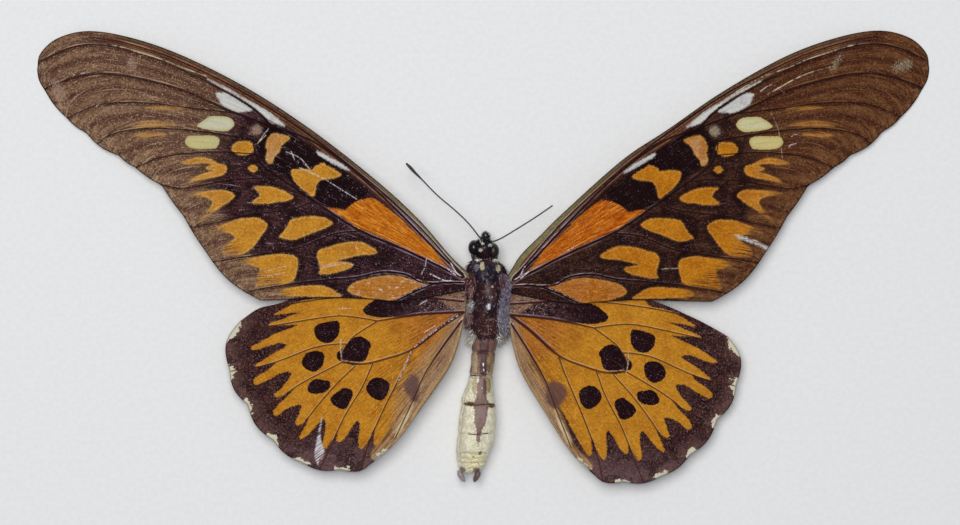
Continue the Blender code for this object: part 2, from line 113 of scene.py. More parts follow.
# Markings, each the outline of one patch of scales.
FORE_OCHRE = {
    "faint_streak": [(79.4, 34.9), (76.4, 35.3), (72.5, 35.2), (70.4, 34.7), (73, 34.5), (76.6, 34.5)],
    "upper_streak": [(83.4, 30.7), (81.2, 31.3), (78.7, 31.75), (75.5, 31.6), (72.1, 30.8), (74.9, 30.5),
                     (78.7, 30.4)],
    "lower_streak": [(82.1, 28.5), (79.9, 29.1), (77.4, 29.2), (74.6, 28.8), (75.9, 28.2), (78.7, 28),
                     (80.9, 28.1)],
    "cell_end_spot": [(59, 25.3), (58.1, 26.6), (56.5, 27), (54.6, 26.8), (53.8, 25.7), (54.2, 24.4),
                      (56.2, 23.7), (58.1, 24.2)],
    "small_spot": [(55.1, 20.6), (54, 21.4), (52.9, 20.6), (54, 19.8)],
    "hook": [(71, 21.9), (68.6, 22.9), (66.3, 23.2), (64, 22.8), (62.3, 21.8), (60.5, 21.3), (60.3, 20),
             (61.5, 19), (64, 18.4), (66.5, 17.9), (69.2, 17.4), (67.5, 18.7), (65, 19.6), (62.9, 20.1),
             (64.8, 20.4), (64.8, 21), (63.5, 21.6), (66, 21.9), (69, 21.6)],
    "arrow": [(58.3, 14.2), (59.4, 15.15), (61.5, 15.5), (63.6, 15.4), (66.7, 15), (69.1, 14.5), (66.7, 14.1),
              (64.6, 13.7), (63.5, 12.8), (64, 11.6), (65.2, 10), (67, 7.9), (64.6, 9.5), (63.1, 10.6),
              (61.5, 11.6), (59.9, 12.7), (58.8, 13.6)],
    "wedge": [(53.9, 16.3), (50.5, 16.4), (48.2, 15.9), (46.1, 15), (44.6, 13.9), (46.1, 13), (48.2, 12.8),
              (50.5, 12.4), (54.2, 12.4), (53.1, 13.6), (52.4, 14.2), (52.9, 15.3)],
    "big_v": [(64.1, 6), (62.5, 6.8), (60, 7.8), (57.3, 8.75), (54.7, 8.95), (53.1, 9), (51.6, 8.35),
              (50.7, 7.6), (50.9, 6.4), (52.1, 4.8), (53.1, 3.3), (54.5, 1.7), (55.8, 0.8), (57.3, 0.3),
              (60.7, 0.4), (61.2, 1.2), (60.7, 2.5), (59.4, 3.4), (58.2, 4.2), (58.9, 5.1), (60.5, 5.6),
              (62.5, 5.9)],
    "blob": [(47.8, 4.6), (46.9, 5.6), (45.8, 7.2), (45, 8.5), (43.5, 9), (41.1, 9.3), (38.8, 9.3),
             (36.9, 8.9), (35.4, 8), (35.6, 7.4), (37.5, 6.4), (40, 5.5), (42.2, 4.6), (44, 3.9), (45.8, 4),
             (47.1, 4.3)],
    "outer_block": [(57.1, -1.2), (55, -0.65), (52.6, -0.1), (50, 0.3), (47.4, 0.5), (45.3, 0.3), (44, -0.1),
                    (43.4, -1.2), (43.6, -3), (44, -4.6), (44.5, -5.6), (46.3, -6.4), (49, -6.8),
                    (52.1, -7.1), (53.5, -7.2), (53.3, -6.4), (52.9, -4.6), (52.4, -2.9), (53.9, -2.35),
                    (55.8, -1.6)],
    "inner_block": [(38.5, -4.15), (38.1, -3), (38.6, -1.15), (38.9, 0.2), (38.2, 1.5), (36.2, 2.1),
                    (34.1, 2.8), (31.5, 3.3), (28.8, 3.3), (26.8, 2.5), (24.9, 1.2), (25.7, 0.5), (29.1, 0.2),
                    (32.5, -0.6), (34.3, -1.15), (32.5, -1.35), (30.9, -1.7), (30.4, -2.1), (31.7, -3),
                    (33.8, -3.6), (36.2, -4.15)],
    "hind_streak": [(47.8, -8.75), (46.9, -7.8), (44.5, -7.3), (41.7, -7), (38.5, -6.9), (36.4, -7.3),
                    (34.3, -8.5), (33.2, -9.4), (36.5, -9.5), (43, -9.4), (46.3, -9.3)],
    "hind_base": [(31.7, -7.7), (30.4, -6.4), (28.3, -5.6), (25.2, -4.9), (22.1, -4.5), (19.4, -4.7),
                  (16.8, -5.5), (14.2, -6.1), (12.7, -6.3), (14.5, -7.1), (16.8, -8.2), (18.9, -9.2),
                  (20.8, -10.2), (23.1, -10.4), (26.2, -10), (28.8, -9.4), (30.9, -8.7)],
    "cell_outer": [(49.2, 28.8), (47.4, 28.6), (45.3, 27.8), (46.4, 26.8), (47.4, 25.8), (47.7, 24.7),
                   (49, 23.2), (49.5, 21.8), (50.6, 22.1), (51, 23.2), (50.6, 24.9), (51, 25.8),
                   (50.3, 27.8)],
    "cell_middle": [(44.9, 20.1), (42.5, 20.5), (39.9, 20.3), (39.5, 20.95), (37.6, 21.8), (36.6, 21.3),
                    (34.3, 20), (33.3, 19), (35.3, 18.3), (37.6, 18), (38.9, 17), (39.7, 14.1), (41.2, 14.9),
                    (43.1, 16.4), (44.4, 18)],
}
FORE_CELL_BASE = {
    "fan": [(32.2, 10.9), (31.5, 11.6), (29.9, 12.7), (28.3, 13.3), (26.2, 13.7), (25.2, 13.3), (23.1, 11.9),
            (21.5, 10.6), (19.5, 9), (17.4, 6.9), (15.3, 4.9), (13.4, 3.5), (11.6, 1.7), (10.3, -0.1),
            (9, -1.9), (8.2, -2.7), (10, -1.9), (12.9, -0.6), (17.9, 1.7), (22.6, 3.8), (27.5, 5.9),
            (29.9, 6.95), (32.5, 8.8), (34.9, 10.3), (36.4, 11.4), (34.9, 11.2), (33, 10.9)],
}
FORE_CREAM = {
    "upper": [(67.1, 30.8), (64.9, 32.4), (63.6, 32.9), (60, 32.7), (58.5, 31.6), (58.6, 30.5), (59.9, 29.5),
              (61.4, 29.4), (64.9, 29.8), (66.5, 30.2)],
    "lower": [(70, 27), (69.2, 28.2), (67.1, 28.3), (63.3, 28.3), (61.9, 27.4), (62.5, 25.6), (63.6, 25.3),
              (66.8, 25.2), (68.6, 25.5), (69.6, 26.1)],
}
FORE_CLEAR = {
    "band": [(64.6, 41.6), (61.8, 40.35), (58.8, 38.85), (55.1, 36.6), (52.4, 35.1), (49.6, 33.3),
             (47.6, 31.7), (46.4, 30.6), (48.6, 31.2), (49.9, 31.7), (51.4, 33.1), (52.9, 34.35), (55.1, 36),
             (58.1, 37.9), (61.1, 39.5), (63.6, 41)],
    "window": [(62.6, 38.2), (61.1, 38.4), (59.6, 38), (58.1, 37), (56.6, 36), (55.1, 35), (54.1, 34.4),
               (54.7, 34.1), (56.3, 34), (57.4, 33.9), (58.8, 34.3), (60.3, 35), (61.6, 36), (62.1, 36.9)],
    "cell_streak": [(38.8, 24.6), (36, 23.2), (33, 21.5), (31.3, 20.2), (32.3, 20.4), (34.5, 21.5),
                    (37, 22.9), (38.6, 23.9)],
}
FORE_SLIT = {"slit": [(57.6, 5.2), (58.8, 4.95), (62.6, 3.6), (66.3, 1.9), (68.2, 1.2), (67.9, 0.8),
                      (66, 1.45), (62.3, 3.15), (58.6, 4.55)]}
HIND_FIELD = {"field": [
    (34, -7), (38, -9.6), (41, -10.2), (44, -11), (46.5, -12.2), (48.5, -13.3), (49.2, -13.8), (47, -13.6),
    (44.5, -13.3), (42.8, -13.3), (45, -13.9), (47, -14.8), (49, -15.4), (50.3, -16.1), (48, -16.2),
    (45.5, -16.2), (43.6, -16.2), (47, -17.6), (50, -18.9), (52, -20), (54.5, -21.4), (54.3, -21.9),
    (53.2, -22), (51, -21.3), (49, -20.7), (47.5, -20.4), (46.1, -20.8), (46.5, -21.4), (48, -22.2),
    (50, -23.3), (52, -24.6), (53.4, -25.6), (53.2, -26), (52, -25.8), (50.5, -25.3), (48.7, -24.9),
    (50, -26.4), (52, -27.6), (53.7, -28.8), (53.9, -29.6), (53.2, -30.2), (52, -29.8), (50, -28.8),
    (48, -27.7), (46.5, -27.2), (45.2, -27.4), (45.1, -28.1), (46.6, -30.2), (48, -31.6), (49, -32.4),
    (48.8, -33), (48, -33.1), (46.5, -32.3), (44.4, -31.2), (46.5, -33.5), (48, -34.8), (49.2, -36.3),
    (49.2, -37.1), (48.5, -37.5), (47.5, -37), (46.5, -36.1), (45, -35.4), (43.6, -35), (42.6, -35.2),
    (43, -36.6), (43.6, -38), (44, -39.3), (43.5, -39.7), (42.4, -39.2), (41, -37.8), (41.2, -38.9),
    (42.3, -40.9), (43.1, -42.4), (42.7, -42.9), (41.2, -42), (40, -40.8), (39, -39.7), (37.8, -38.4),
    (37.1, -38.6), (36.9, -39.7), (37.1, -41.5), (37.6, -43.5), (37.6, -44.7), (36.8, -45.1), (36, -44),
    (35.3, -43), (34.5, -41.6), (34.2, -42.2), (34.4, -43.3), (33.9, -43.7), (33.2, -43.4), (32.2, -42.4),
    (31, -40.5), (30, -39.2), (29.4, -38.6), (28.9, -39.2), (28.9, -41), (29.2, -43.2), (28.9, -45),
    (28.2, -45.2), (27.5, -44.3), (26.5, -42.5), (25.4, -40.2), (25.5, -42.3), (25.7, -43.9), (25.1, -44.6),
    (24.5, -44.3), (23, -42.3), (21.5, -39.9), (20.5, -38.4), (18, -34.5), (14.5, -28.5), (10, -21.8),
    (6.5, -16.5), (4.5, -13), (5, -8), (20, -6)]}
HIND_SPOTS = {
    "costal": [(33.8, -15.4), (35.2, -15.2), (37.5, -15.6), (39.3, -16.4), (39.6, -17.5), (39.2, -19),
               (38, -20.1), (36.5, -20.4), (35, -19.8), (33.9, -18.5), (33.6, -17)],
    "cell_end": [(31.9, -20.5), (31.2, -19.7), (29.8, -18.9), (28.5, -18.9), (27.3, -19.5), (26.5, -20.3),
                 (26.2, -21.2), (26.6, -21.8), (26.9, -23), (27.5, -24.3), (28.7, -25), (30, -25.6),
                 (31.5, -25.3), (32.7, -24.8), (33.9, -24.4), (34.3, -23.4), (34, -22.4), (33.2, -21.8),
                 (32.6, -21.2)],
    "outer": [(37.2, -23.5), (37.9, -22.5), (39.5, -22.2), (41.2, -22.7), (42.2, -23.9), (42.5, -25.3),
              (41.7, -26.4), (40, -27.2), (38.7, -26.8), (37.6, -25.6)],
    "oval": [(36.1, -29.3), (37.3, -29.1), (38.8, -28.8), (40, -29.2), (40.9, -30.2), (41.2, -31.5),
             (40.3, -32.2), (38.6, -32.3), (37, -31.9), (36, -31), (35.8, -30)],
    "middle": [(30.7, -31.6), (31.5, -31.1), (32.8, -31), (34, -31.8), (35.2, -32.6), (35.8, -33.8),
               (34.8, -35.1), (33.2, -35.9), (31.9, -35.6), (31.3, -34.3), (30.6, -32.9)],
    "inner": [(22.5, -29.3), (24, -28.5), (25.6, -28.6), (26.8, -29.6), (27.4, -31), (26.7, -32.5),
              (25.3, -33.6), (24, -33.9), (22.8, -33), (22.1, -31.6), (21.9, -30.2)],
    "base": [(28.1, -12.6), (27.2, -11.5), (26, -10.6), (24.5, -9.9), (20, -9), (13, -9), (9.5, -10.4),
             (7.5, -12), (5.8, -13), (10, -13.4), (15, -13.7), (20, -14.2), (24, -14.4), (27.3, -13.7)],
}
HIND_FADED = {
    "left": {"ghost": [(16.6, -27.6), (17.8, -28.8), (18.7, -30.3), (18.3, -31.6), (17.3, -33), (16.3, -34.3),
                       (15.2, -34.2), (14.9, -32.5), (14.8, -30.5), (14.9, -28.6)]},
    "right": {"ghost": [(16.1, -27.6), (17.8, -28.2), (19.1, -29.7), (19.1, -31.2), (18.1, -32.8),
                        (16.6, -33.9), (15.2, -33.9), (14.2, -32.6), (13.7, -30.8), (13.9, -29),
                        (14.8, -27.9)]},
}
HIND_PALE = {"tail": [(16.3, -34.3), (17.6, -36.2), (19.3, -38.9), (20.4, -41), (20.7, -42.6), (19.6, -41.6),
                      (18.2, -39.2), (17, -36.8)]}
HIND_LUNULES = {
    "first": [(56.8, -16.2), (57, -17.6), (57.5, -18.6), (58.6, -19.6), (59.8, -20.6), (60.6, -20.2),
              (60, -17), (58, -14.6), (57, -14.8)],
    "second": [(60.6, -25), (59, -25.4), (57.9, -25.5), (58.3, -26.2), (57.9, -27.2), (58.3, -28),
               (58.6, -28.9), (59.4, -29.3), (60.8, -27)],
    "third": [(56.8, -33.7), (55.8, -33.4), (55, -33.6), (54.6, -34.6), (54, -35), (53.9, -36.2),
              (54.2, -37.2), (55.4, -36.6), (56.8, -34.6)],
    "fourth": [(50.9, -41.6), (49.6, -41.4), (48.7, -42), (48, -42.6), (47.9, -43.7), (48.2, -44.6),
               (49.6, -43.8), (51.2, -42.4)],
    "fifth": [(44.6, -47.3), (43, -47), (41.6, -47.7), (40.7, -48.4), (40.7, -49.2), (42.2, -49.6),
              (44.4, -48.6)],
    "sixth": [(34.9, -49.7), (33.4, -49.5), (31.8, -49.4), (31.4, -49.9), (31.6, -50.9), (33.4, -51),
              (35, -50.8)],
    "seventh": [(25.3, -46.3), (24, -45.6), (22.6, -44.9), (21.9, -45.4), (23, -46.9), (25.2, -48)],
}
# How far some patches of the right forewing lie from the left one's.
RIGHT_SHIFTS = {"upper_streak": (-1.0, 0.1), "lower_streak": (-0.4, 0), "cell_end_spot": (-0.3, 0),
                "arrow": (0.1, 0.3), "big_v": (0.6, -0.2), "outer_block": (0.8, -0.3),
                "inner_block": (0.7, -0.5), "lower": (-0.4, 0), "cell_outer": (0.5, -0.2)}

# Relief of a dressed wing, mm.
WING_SKIN = 0.13            # thickness
WING_SINK = 0.05            # how far its upper face lies below the solid's
WING_LOWEST = WING_SKIN + 0.02
RIDGE_HEIGHT, RIDGE_WIDTH = 0.14, 0.32
TROUGH_DEPTH = 0.1
SWELL_HEIGHT = 0.12
LIP_HEIGHT, LIP_FADE = 0.4, 0.9

# How many faces a wing's upper side has along and across, how many lanes its threads and streaks lie in,
# and where a hindwing is most streaked.
FORE_MESH, HIND_MESH = (411, 201), (240, 240)
FORE_LANES, HIND_LANES = 60, 70
HIND_ROOT = (4, -10)

# How many hairs each part has, how low and high a point of one may lie in mm, how much of its length a
# hair sags, how far along it bends, and how bright it is painted at its root, its bend and its tip: the
# dark root is painted shade, where hairs shade one another.
THORAX_HAIRS, HEAD_HAIRS, PALP_HAIRS, TEGULA_HAIRS = 9000, 1700, 300, 420
HAIR_LOWEST, HAIR_HIGHEST = 0.02, 9.85
HAIR_SAG, HAIR_BEND = 0.15, 0.55
HAIR_SHADES = [0.55] * 3 + [0.9] * 3 + [1.2]

# How far out from the edge each stripe of the front border lies, half its width, its tone and strength.
COSTAL_STRIPES = [(0.35, 0.28, "edge_olive", 0.75), (0.8, 0.12, "edge", 0.7), (1.12, 0.1, "costa_gold", 0.6),
                  (1.4, 0.1, "edge", 0.7), (1.68, 0.1, "costa_gold", 0.5), (1.95, 0.1, "edge", 0.7),
                  (2.25, 0.1, "costa_gold", 0.4), (2.6, 0.14, "edge", 0.75)]

# How wide the brown hairy strip along the inner margin of a hindwing is, at places along Y.
HAIRY_AT = [-47, -42, -36, -30, -22, -14]
HAIRY_WIDTH = {"left": [1.2, 2.6, 5.0, 8.0, 6.5, 3.0], "right": [1.0, 1.6, 2.8, 4.0, 3.6, 2.2]}

# Patches that shade into their surroundings.
FORE_CELL_DARK = {"cell": [(53.2, 26.5), (50, 31), (45, 29), (38, 24.4), (31, 18.6), (27, 14.8), (31, 11.6),
                           (36.5, 11.4), (41, 14), (45, 17.4), (50, 20.8), (52.6, 23.4)]}
HIND_HUMERAL = {"patch": [(10.6, -9.6), (7.8, -12.0), (5.4, -12.6), (3.6, -11), (4, -8), (7.8, -7.2)]}

# Wear and painted highlights: scratches, some of them painted glints, and gleams, which are painted
# highlights, are paths; rubbed and scuffed places are outlines.
# Scratches on the forewings, some of them painted glints where a vein or scales catch the light.
FORE_SCRATCHES_AND_GLINTS = {
    "left": [[(46.2, 24.5), (43, 23.1), (40.8, 20.7)], [(42.1, 21.9), (40.6, 20.5)],
             [(45, 24.6), (44.2, 22.6)],
             [(43, 20.75), (37.1, 18.1), (35.7, 17.2), (29.6, 13.4)], [(51.3, -3.6), (45.6, -2.2)],
             [(50.6, -4.6), (46.6, -3.9)], [(38.4, -2.9), (31.9, -1.5)], [(37.6, -2.1), (34.5, -1.7)],
             [(50.3, 30), (52.9, 26.6)], [(102.1, 40.5), (99.6, 43.7)], [(97.4, 42.5), (93.7, 43.2)],
             [(91.3, 35), (90, 36)], [(13.2, -0.6), (13.6, -2.6), (14.4, -4.2)]],
    "right": [[(74, 28.5), (72.4, 28.7), (71.6, 28.2)], [(73, 26.6), (71.4, 26.3), (70.9, 25.8)],
              [(70, 38.6), (67, 40.4), (64, 38.8)], [(20, 3.2), (17.6, 1.9)]],
}
# Gleams are painted highlights: pale lines along shiny veins and the lifted lip of the tear, and glints.
COSTAL_GLEAM = [(91, 50.3), (87.9, 49.9), (84.2, 49), (80.5, 47.8), (75.9, 46.4), (70, 44.1), (64.8, 42.3)]
ROOT_GLEAMS = [[(7.5, -1.6), (6.1, -4), (4.9, -4.7)], [(8.3, -2.9), (6.4, -4.4)]]
FORE_GLEAMS = {
    "left": [[(97.4, 49.5), (94.2, 50.2)] + COSTAL_GLEAM, *ROOT_GLEAMS,
             [(12.3, -4.2), (9, -5.7), (7.5, -5.7)], [(52.9, 26.5), (51, 28.4)]],
    "right": [COSTAL_GLEAM + [(58, 38.6)], *ROOT_GLEAMS,
              [(81.5, 44.6), (74, 42.4), (66, 38.2)], [(66.7, 34), (68.4, 30), (69.4, 23.2)],
              [(40.2, -2.6), (44.2, -2.4)],
              [(57.4, 5.5), (58.9, 5.2), (62.7, 3.85), (66.4, 2.15), (67.8, 1.6)]],
}
RUBBED_CELL_END = [(54.4, 29), (54, 30.4), (52.7, 30.8), (51.9, 29.4), (53, 28.5)]
FORE_RUBBED = {
    "left": {"cell_end": RUBBED_CELL_END,
             "fleck": [(84, 46.2), (82.6, 46.9), (81, 45.4), (82, 44.2), (83.6, 44.8)],
             "margin": [(101.6, 40.2), (99.6, 41), (98, 38.4), (99.2, 36.2), (101, 37.4)]},
    "right": {"cell_end": RUBBED_CELL_END,
              "fleck": [(84, 47.2), (83.4, 47.6), (81.2, 44.4), (81.4, 43.6), (82, 43.6), (83.4, 46)],
              "margin": [(100.6, 45.6), (99.4, 46.2), (96.4, 44.8), (97, 43.4), (100.4, 44)]},
}
# Scratches on the hindwings, some of them painted glints.
HIND_SCRATCHES_AND_GLINTS = {
    "left": [[(34, -12.4), (32.4, -12.2), (31, -12.3)], [(40.4, -8.7), (38.2, -8.9)],
             [(33.3, -19.4), (33.4, -22.4), (32.8, -24.6)], [(13.8, -17.9), (11.2, -16.3)]],
    "right": [[(33.3, -20.4), (33.4, -23), (32.9, -25)]],
}
# Gleams on the hindwings are painted highlights: pale streaks and glints at the root and along the veins.
INNER_ROOT_GLEAM = [(5.6, -15.4), (4.5, -14.1)]
HIND_GLEAMS = {
    "left": [INNER_ROOT_GLEAM, [(15.3, -11.6), (13.1, -10.3)], [(5.3, -13.6), (10, -16.6), (16.2, -21.4)],
             [(16.8, -22.3), (18.4, -26.2), (20, -29.6)]],
    "right": [INNER_ROOT_GLEAM],
}
HIND_SCUFFS = {
    "left": {"scrape": [(37.8, -37.3), (38.4, -39.5), (38.9, -42), (39.4, -44.5), (39.7, -46.8),
                        (39.2, -48.4), (38.6, -49.2), (38.3, -48), (37.5, -47.6), (37.1, -45.6),
                        (37.8, -43.4), (38, -41), (37.7, -39)]},
    "right": {},
}

# The right forewing is torn: the skin is lifted on one side of the path.
TEARS = {"forewing_right": [(57.8, 5.2), (58.7, 4.8), (62.4, 3.4), (66.1, 1.6), (67.4, 1.1)]}

# Body sections: place along Y, half width, lowest and highest point. The abdomen leans, so it has its
# left and right edges.
THORAX = [(-18.8, 2.7, 1.4, 7.2), (-17.0, 3.6, 0.6, 8.0), (-14.5, 4.3, 0, 8.8), (-12.0, 4.55, 0, 9.3),
          (-9.0, 4.6, 0, 9.5), (-6.0, 4.5, 0, 9.3), (-4.0, 4.2, 0.7, 8.9), (-2.0, 3.7, 1.7, 7.8),
          (-0.9, 2.7, 2.4, 6.6)]
ABDOMEN = [(-50.9, -5.0, -1.6, 1.9, 4.6), (-50.2, -5.4, -0.5, 1.3, 5.4), (-49.3, -5.75, 0.4, 0.8, 6.0),
           (-48, -6.0, 1.0, 0.5, 6.5), (-46, -6.3, 1.65, 0.2, 7.0), (-44, -6.15, 2.5, 0.1, 7.4),
           (-41, -5.8, 2.95, 0, 7.6), (-38, -5.55, 3.15, 0, 7.7), (-35, -5.05, 3.0, 0, 7.6),
           (-33.4, -5.0, 2.8, 0.1, 7.6), (-32, -4.5, 2.55, 0.2, 7.5), (-30, -3.65, 2.4, 0.3, 7.4),
           (-27.6, -3.15, 2.35, 0.5, 7.2), (-24.5, -2.7, 2.75, 0.7, 7.2), (-22.4, -2.65, 2.95, 0.8, 7.1),
           (-20.3, -2.3, 3.3, 1.1, 7.0), (-19.2, -1.6, 3.0, 1.7, 6.7)]
SEAMS = [(-22.5, -1.0, 0.6), (-27.9, -3.4, -0.6), (-34.8, -4.4, 3.0), (-41.7, -3.4, 1.3), (-46.4, -1.0, -0.4),
         (-48.6, -1, -1)]
STRIPE = [(-45.2, -1.1, -0.3), (-43, -1.05, 0.35), (-41.6, -1.0, 0.5), (-40, -0.75, 0.85), (-39, -0.6, 1.3),
          (-36, -0.4, 1.6), (-34.6, -0.3, 1.9), (-33.2, -0.3, 1.2), (-31, -0.25, 1.1), (-28.6, -0.1, 0.75),
          (-27.4, 0.1, 0.6), (-24, 0.15, 0.75), (-22, 0.3, 1.0), (-18, 0.6, 1.2)]
HEAD = {"centre": (0.2, 1.75, 4.6), "half": (2.35, 2.15, 2.35)}
# Place, tone and roughness of each eye: the left one is glossy, the right one has dried dull.
EYES = {"left": ((-2.1, 2.0, 4.6), "#0d0b10", 0.08), "right": ((2.5, 1.25, 4.6), "#1d1512", 0.4)}
EYE_HALF = (1.35, 1.8, 1.9)
PALPS = {"left": (0.25, 4.35, 3.4), "right": (1.05, 4.35, 3.4)}
PALP_HALF = (0.34, 1.05, 0.5)
PALP_RISE = 24              # degrees that a palp points upwards
ANTENNAE = {
    "left": [(-0.5, 4.1, 6.0), (-2.5, 6.7, 6.2), (-4.3, 8.7, 6.4), (-6.9, 11.1, 6.6), (-10, 13.7, 6.8),
             (-12.1, 15.7, 6.9), (-14.2, 17.9, 7.0), (-16.0, 19.7, 7.1), (-17.0, 20.8, 7.1),
             (-18, 21.8, 7.1)],
    "right": [(2.0, 3.3, 6.0), (4.5, 4.3, 6.2), (9.3, 7.2, 6.4), (12.9, 9.5, 6.6), (16.4, 11.9, 6.7)],
}
ANTENNA_RADIUS = 0.17
ANTENNA_RING = 0.4          # length of one joint of an antenna, mm
CLUB_SWELL = {"left": [1.1, 1, 1, 1, 1, 1, 1.1, 2.0, 2.3, 1.2], "right": [1.1, 1, 1, 1, 0.95]}
TEGULA = {"out": 4.0, "y": -6.9, "z": 8.75, "half": (1.5, 2.8, 0.4), "slope": 34}
CLASPERS = {"left": [(-5.5, -50.3, 3.7), (-5.3, -51.2, 3.7), (-4.8, -52.2, 3.6), (-4.2, -52.95, 3.5)],
            "right": [(-0.9, -50.5, 3.8), (-1.2, -51.3, 3.8), (-1.7, -52.3, 3.6), (-2.0, -53.0, 3.5)]}
CLASPER_RADII = [0.5, 0.68, 0.6, 0.26]
CLASPER_TONES = {"left": "#9b8f8c", "right": "#6e5650"}
COIL = {"centre": (0.3, 3.05, 1.45), "outer": 0.95, "inner": 0.3, "turns": 1.75, "radius": 0.13}
LEGS = {
    "foreleg": [((1.7, -1.9, 1.5), 0.36), ((2.6, -0.6, 1.4), 0.4), ((2.9, 1.6, 1.1), 0.34),
                ((2.5, 2.7, 0.8), 0.28), ((1.9, 1.4, 0.45), 0.24), ((1.6, -0.4, 0.35), 0.18),
                ((1.5, -1.7, 0.3), 0.14)],
    "midleg": [((4.0, -6.8, 1.0), 0.36), ((5.2, -8.8, 1.2), 0.42), ((6.0, -10.6, 1.1), 0.36),
               ((6.2, -13.0, 0.8), 0.28), ((6.8, -16.0, 0.6), 0.24), ((8.0, -18.6, 0.4), 0.18),
               ((9.3, -21.2, 0.3), 0.14)],
    "hindleg": [((3.7, -11.2, 0.9), 0.36), ((4.1, -13.0, 1.0), 0.42), ((3.7, -14.9, 0.9), 0.36),
                ((2.7, -17.4, 0.65), 0.28), ((1.9, -20.4, 0.45), 0.22), ((1.5, -23.2, 0.34), 0.17),
                ((1.4, -25.8, 0.3), 0.14)],
}

# Where hair and scales of one tone lie on the body, seen from above: (x, y, half width, half length),
# tone and hair length. A later patch lies over an earlier one, and flat scales have no length.
COATS = [
    ((0.6, -9, 9, 14), "#38202a", 1.0), ((1.0, -9.5, 2.5, 9), "#472528", 0.9),
    ((0.9, -4, 3.4, 2.4), "#271a2b", 0.9), ((1.3, -7.6, 1.3, 1.7), "#4c211c", 0.8),
    ((1.2, -12.3, 1.9, 2.2), "#2c1a26", 0.6),
    ((0.4, -13.6, 1.0, 0.9), "#4a2622", 0.7), ((1.1, -16.6, 3.0, 2.2), "#553029", 0.9),
    ((1.6, -14.8, 1.1, 0.22), "#a0706a", 0.4), ((1.2, -16.3, 1.2, 0.25), "#9a6a60", 0.4),
    ((0.9, -18.1, 1.5, 0.3), "#9c7264", 0.4),
    ((5.2, -5.2, 1.6, 1.2), "#8a7078", 1.2), ((6.0, -10.5, 2.0, 4.4), "#9b95aa", 1.6),
    ((5.2, -14.5, 1.8, 4.0), "#a09aa4", 1.7), ((5.9, -16.8, 1.6, 3.0), "#b5b1bb", 1.7),
    ((-1.45, -2.5, 0.6, 0.75), "#8a8290", 0.7), ((-3.4, -14.2, 1.2, 1.6), "#94706a", 1.3),
    ((-2.9, -11.2, 0.9, 1.6), "#b3aca2", 1.1), ((-2.5, -11.2, 0.55, 0.7), "#eceae6", 0.9),
    ((-3.1, -17.1, 0.9, 0.8), "#e6e3e2", 1.2), ((-2.7, -19.5, 1.3, 2.1), "#e2dccb", 1.9),
    ((3.9, -19.7, 1.0, 1.7), "#e2dccb", 1.7),
    ((-1.1, -0.6, 0.85, 0.65), "#ece4cc", 0.5), ((-0.15, -2.3, 0.6, 1.0), "#d3c6a0", 0.5),
    ((2.9, -0.8, 0.8, 0.6), "#ece4cf", 0.5), ((3.6, -2.8, 0.55, 0.85), "#d3c6a0", 0.5),
    # Near-white patches without hair: painted highlights on the bare, glossy shell.
    ((1.4, -11.8, 0.42, 0.8), "#efeaf0", 0.0), ((2.3, -7.1, 0.2, 0.35), "#d8c8d0", 0.0),
    ((2.3, -9.4, 0.16, 0.35), "#cfc0c8", 0.0),
]
HEAD_COATS = [((0, 1, 9, 9), "#1a141d", 0.7), ((1.0, 0.4, 1.6, 0.8), "#3c1c26", 0.7),
              ((-0.5, 1.4, 0.45, 0.4), "#e8dcc8", 0.45), ((0.0, 2.9, 0.4, 0.35), "#f0e8dc", 0.45),
              ((-0.45, 3.5, 0.3, 0.4), "#d8ccc4", 0.45), ((1.7, 2.5, 0.5, 0.35), "#f0e8e0", 0.45),
              ((0.7, 4.3, 1.0, 1.4), "#1b1f1e", 0.9)]
TEGULA_COATS = {"left": [((-3, -7, 9, 9), "#5d2f2a", 1.0), ((-2.6, -8, 0.6, 1.6), "#a07a76", 1.0)],
                "right": [((5, -7, 9, 9), "#8b7f92", 1.2), ((4.6, -6, 0.8, 1.2), "#6a4448", 1.0)]}
ABDOMEN_COATS = [
    ((0, -30, 99, 99), "#e0d9bd", 0), ((-4.6, -44, 0.9, 9), "#d3ccb2", 0),
    ((-1.4, -48.2, 2.8, 2.4), "#dcd4ac", 0), ((0.1, -23.6, 9, 4.5), "#836551", 0),
    ((0.9, -21.2, 9, 2.2), "#7b5b4e", 0), ((1.6, -23.9, 0.8, 1.5), "#94794f", 0),
    ((-1.9, -25.0, 0.7, 2.6), "#b39b7c", 0), ((2.3, -26.6, 0.5, 1.7), "#a99272", 0),
    ((0.15, -22.8, 1.3, 1.4), "#5d3c3a", 0), ((0.1, -26.2, 0.85, 2.2), "#523236", 0),
    ((1.2, -30.2, 0.75, 2.0), "#a08c60", 0), ((-1.9, -30.6, 0.6, 2.4), "#b7a886", 0),
    ((-2.9, -34.6, 1.35, 0.55), "#6b4a2c", 0), ((2.0, -35.1, 0.9, 0.5), "#6b4a2c", 0),
    ((-0.6, -46.0, 0.5, 0.14), "#2c1d1c", 0), ((-2.2, -47.1, 0.3, 0.16), "#4c3a32", 0),
    ((-4.9, -50.2, 0.9, 0.7), "#8d7a6a", 0), ((-1.4, -50.4, 0.9, 0.7), "#7f6a5e", 0),
]
# The stripe's tones, and near-white small patches on it that are painted highlights.
STRIPE_GLINTS = [((0, -30, 99, 99), "#7d5f5a", 0), ((0.1, -23.6, 9, 4.5), "#4e3032", 0),
                 ((0.1, -25.4, 0.16, 0.4), "#fbf6f4", 0), ((0.2, -26.7, 0.14, 0.3), "#efe6e4", 0),
                 ((0.4, -30.5, 0.45, 2.2), "#5a3c3c", 0), ((0.6, -37.4, 0.9, 2.0), "#86686a", 0),
                 ((-0.1, -31.0, 0.1, 0.24), "#f2e8e6", 0),
                 ((0.55, -34.6, 0.1, 0.3), "#f6eeec", 0), ((0.3, -28.4, 0.6, 0.3), "#a37d6a", 0)]


def linear(hex_colour):
    """An sRGB hex colour as linear RGBA."""
    parts = [int(hex_colour[n:n + 2], 16) / 255 for n in (1, 3, 5)]
    return (*[c / 12.92 if c <= 0.04045 else ((c + 0.055) / 1.055) ** 2.4 for c in parts], 1)


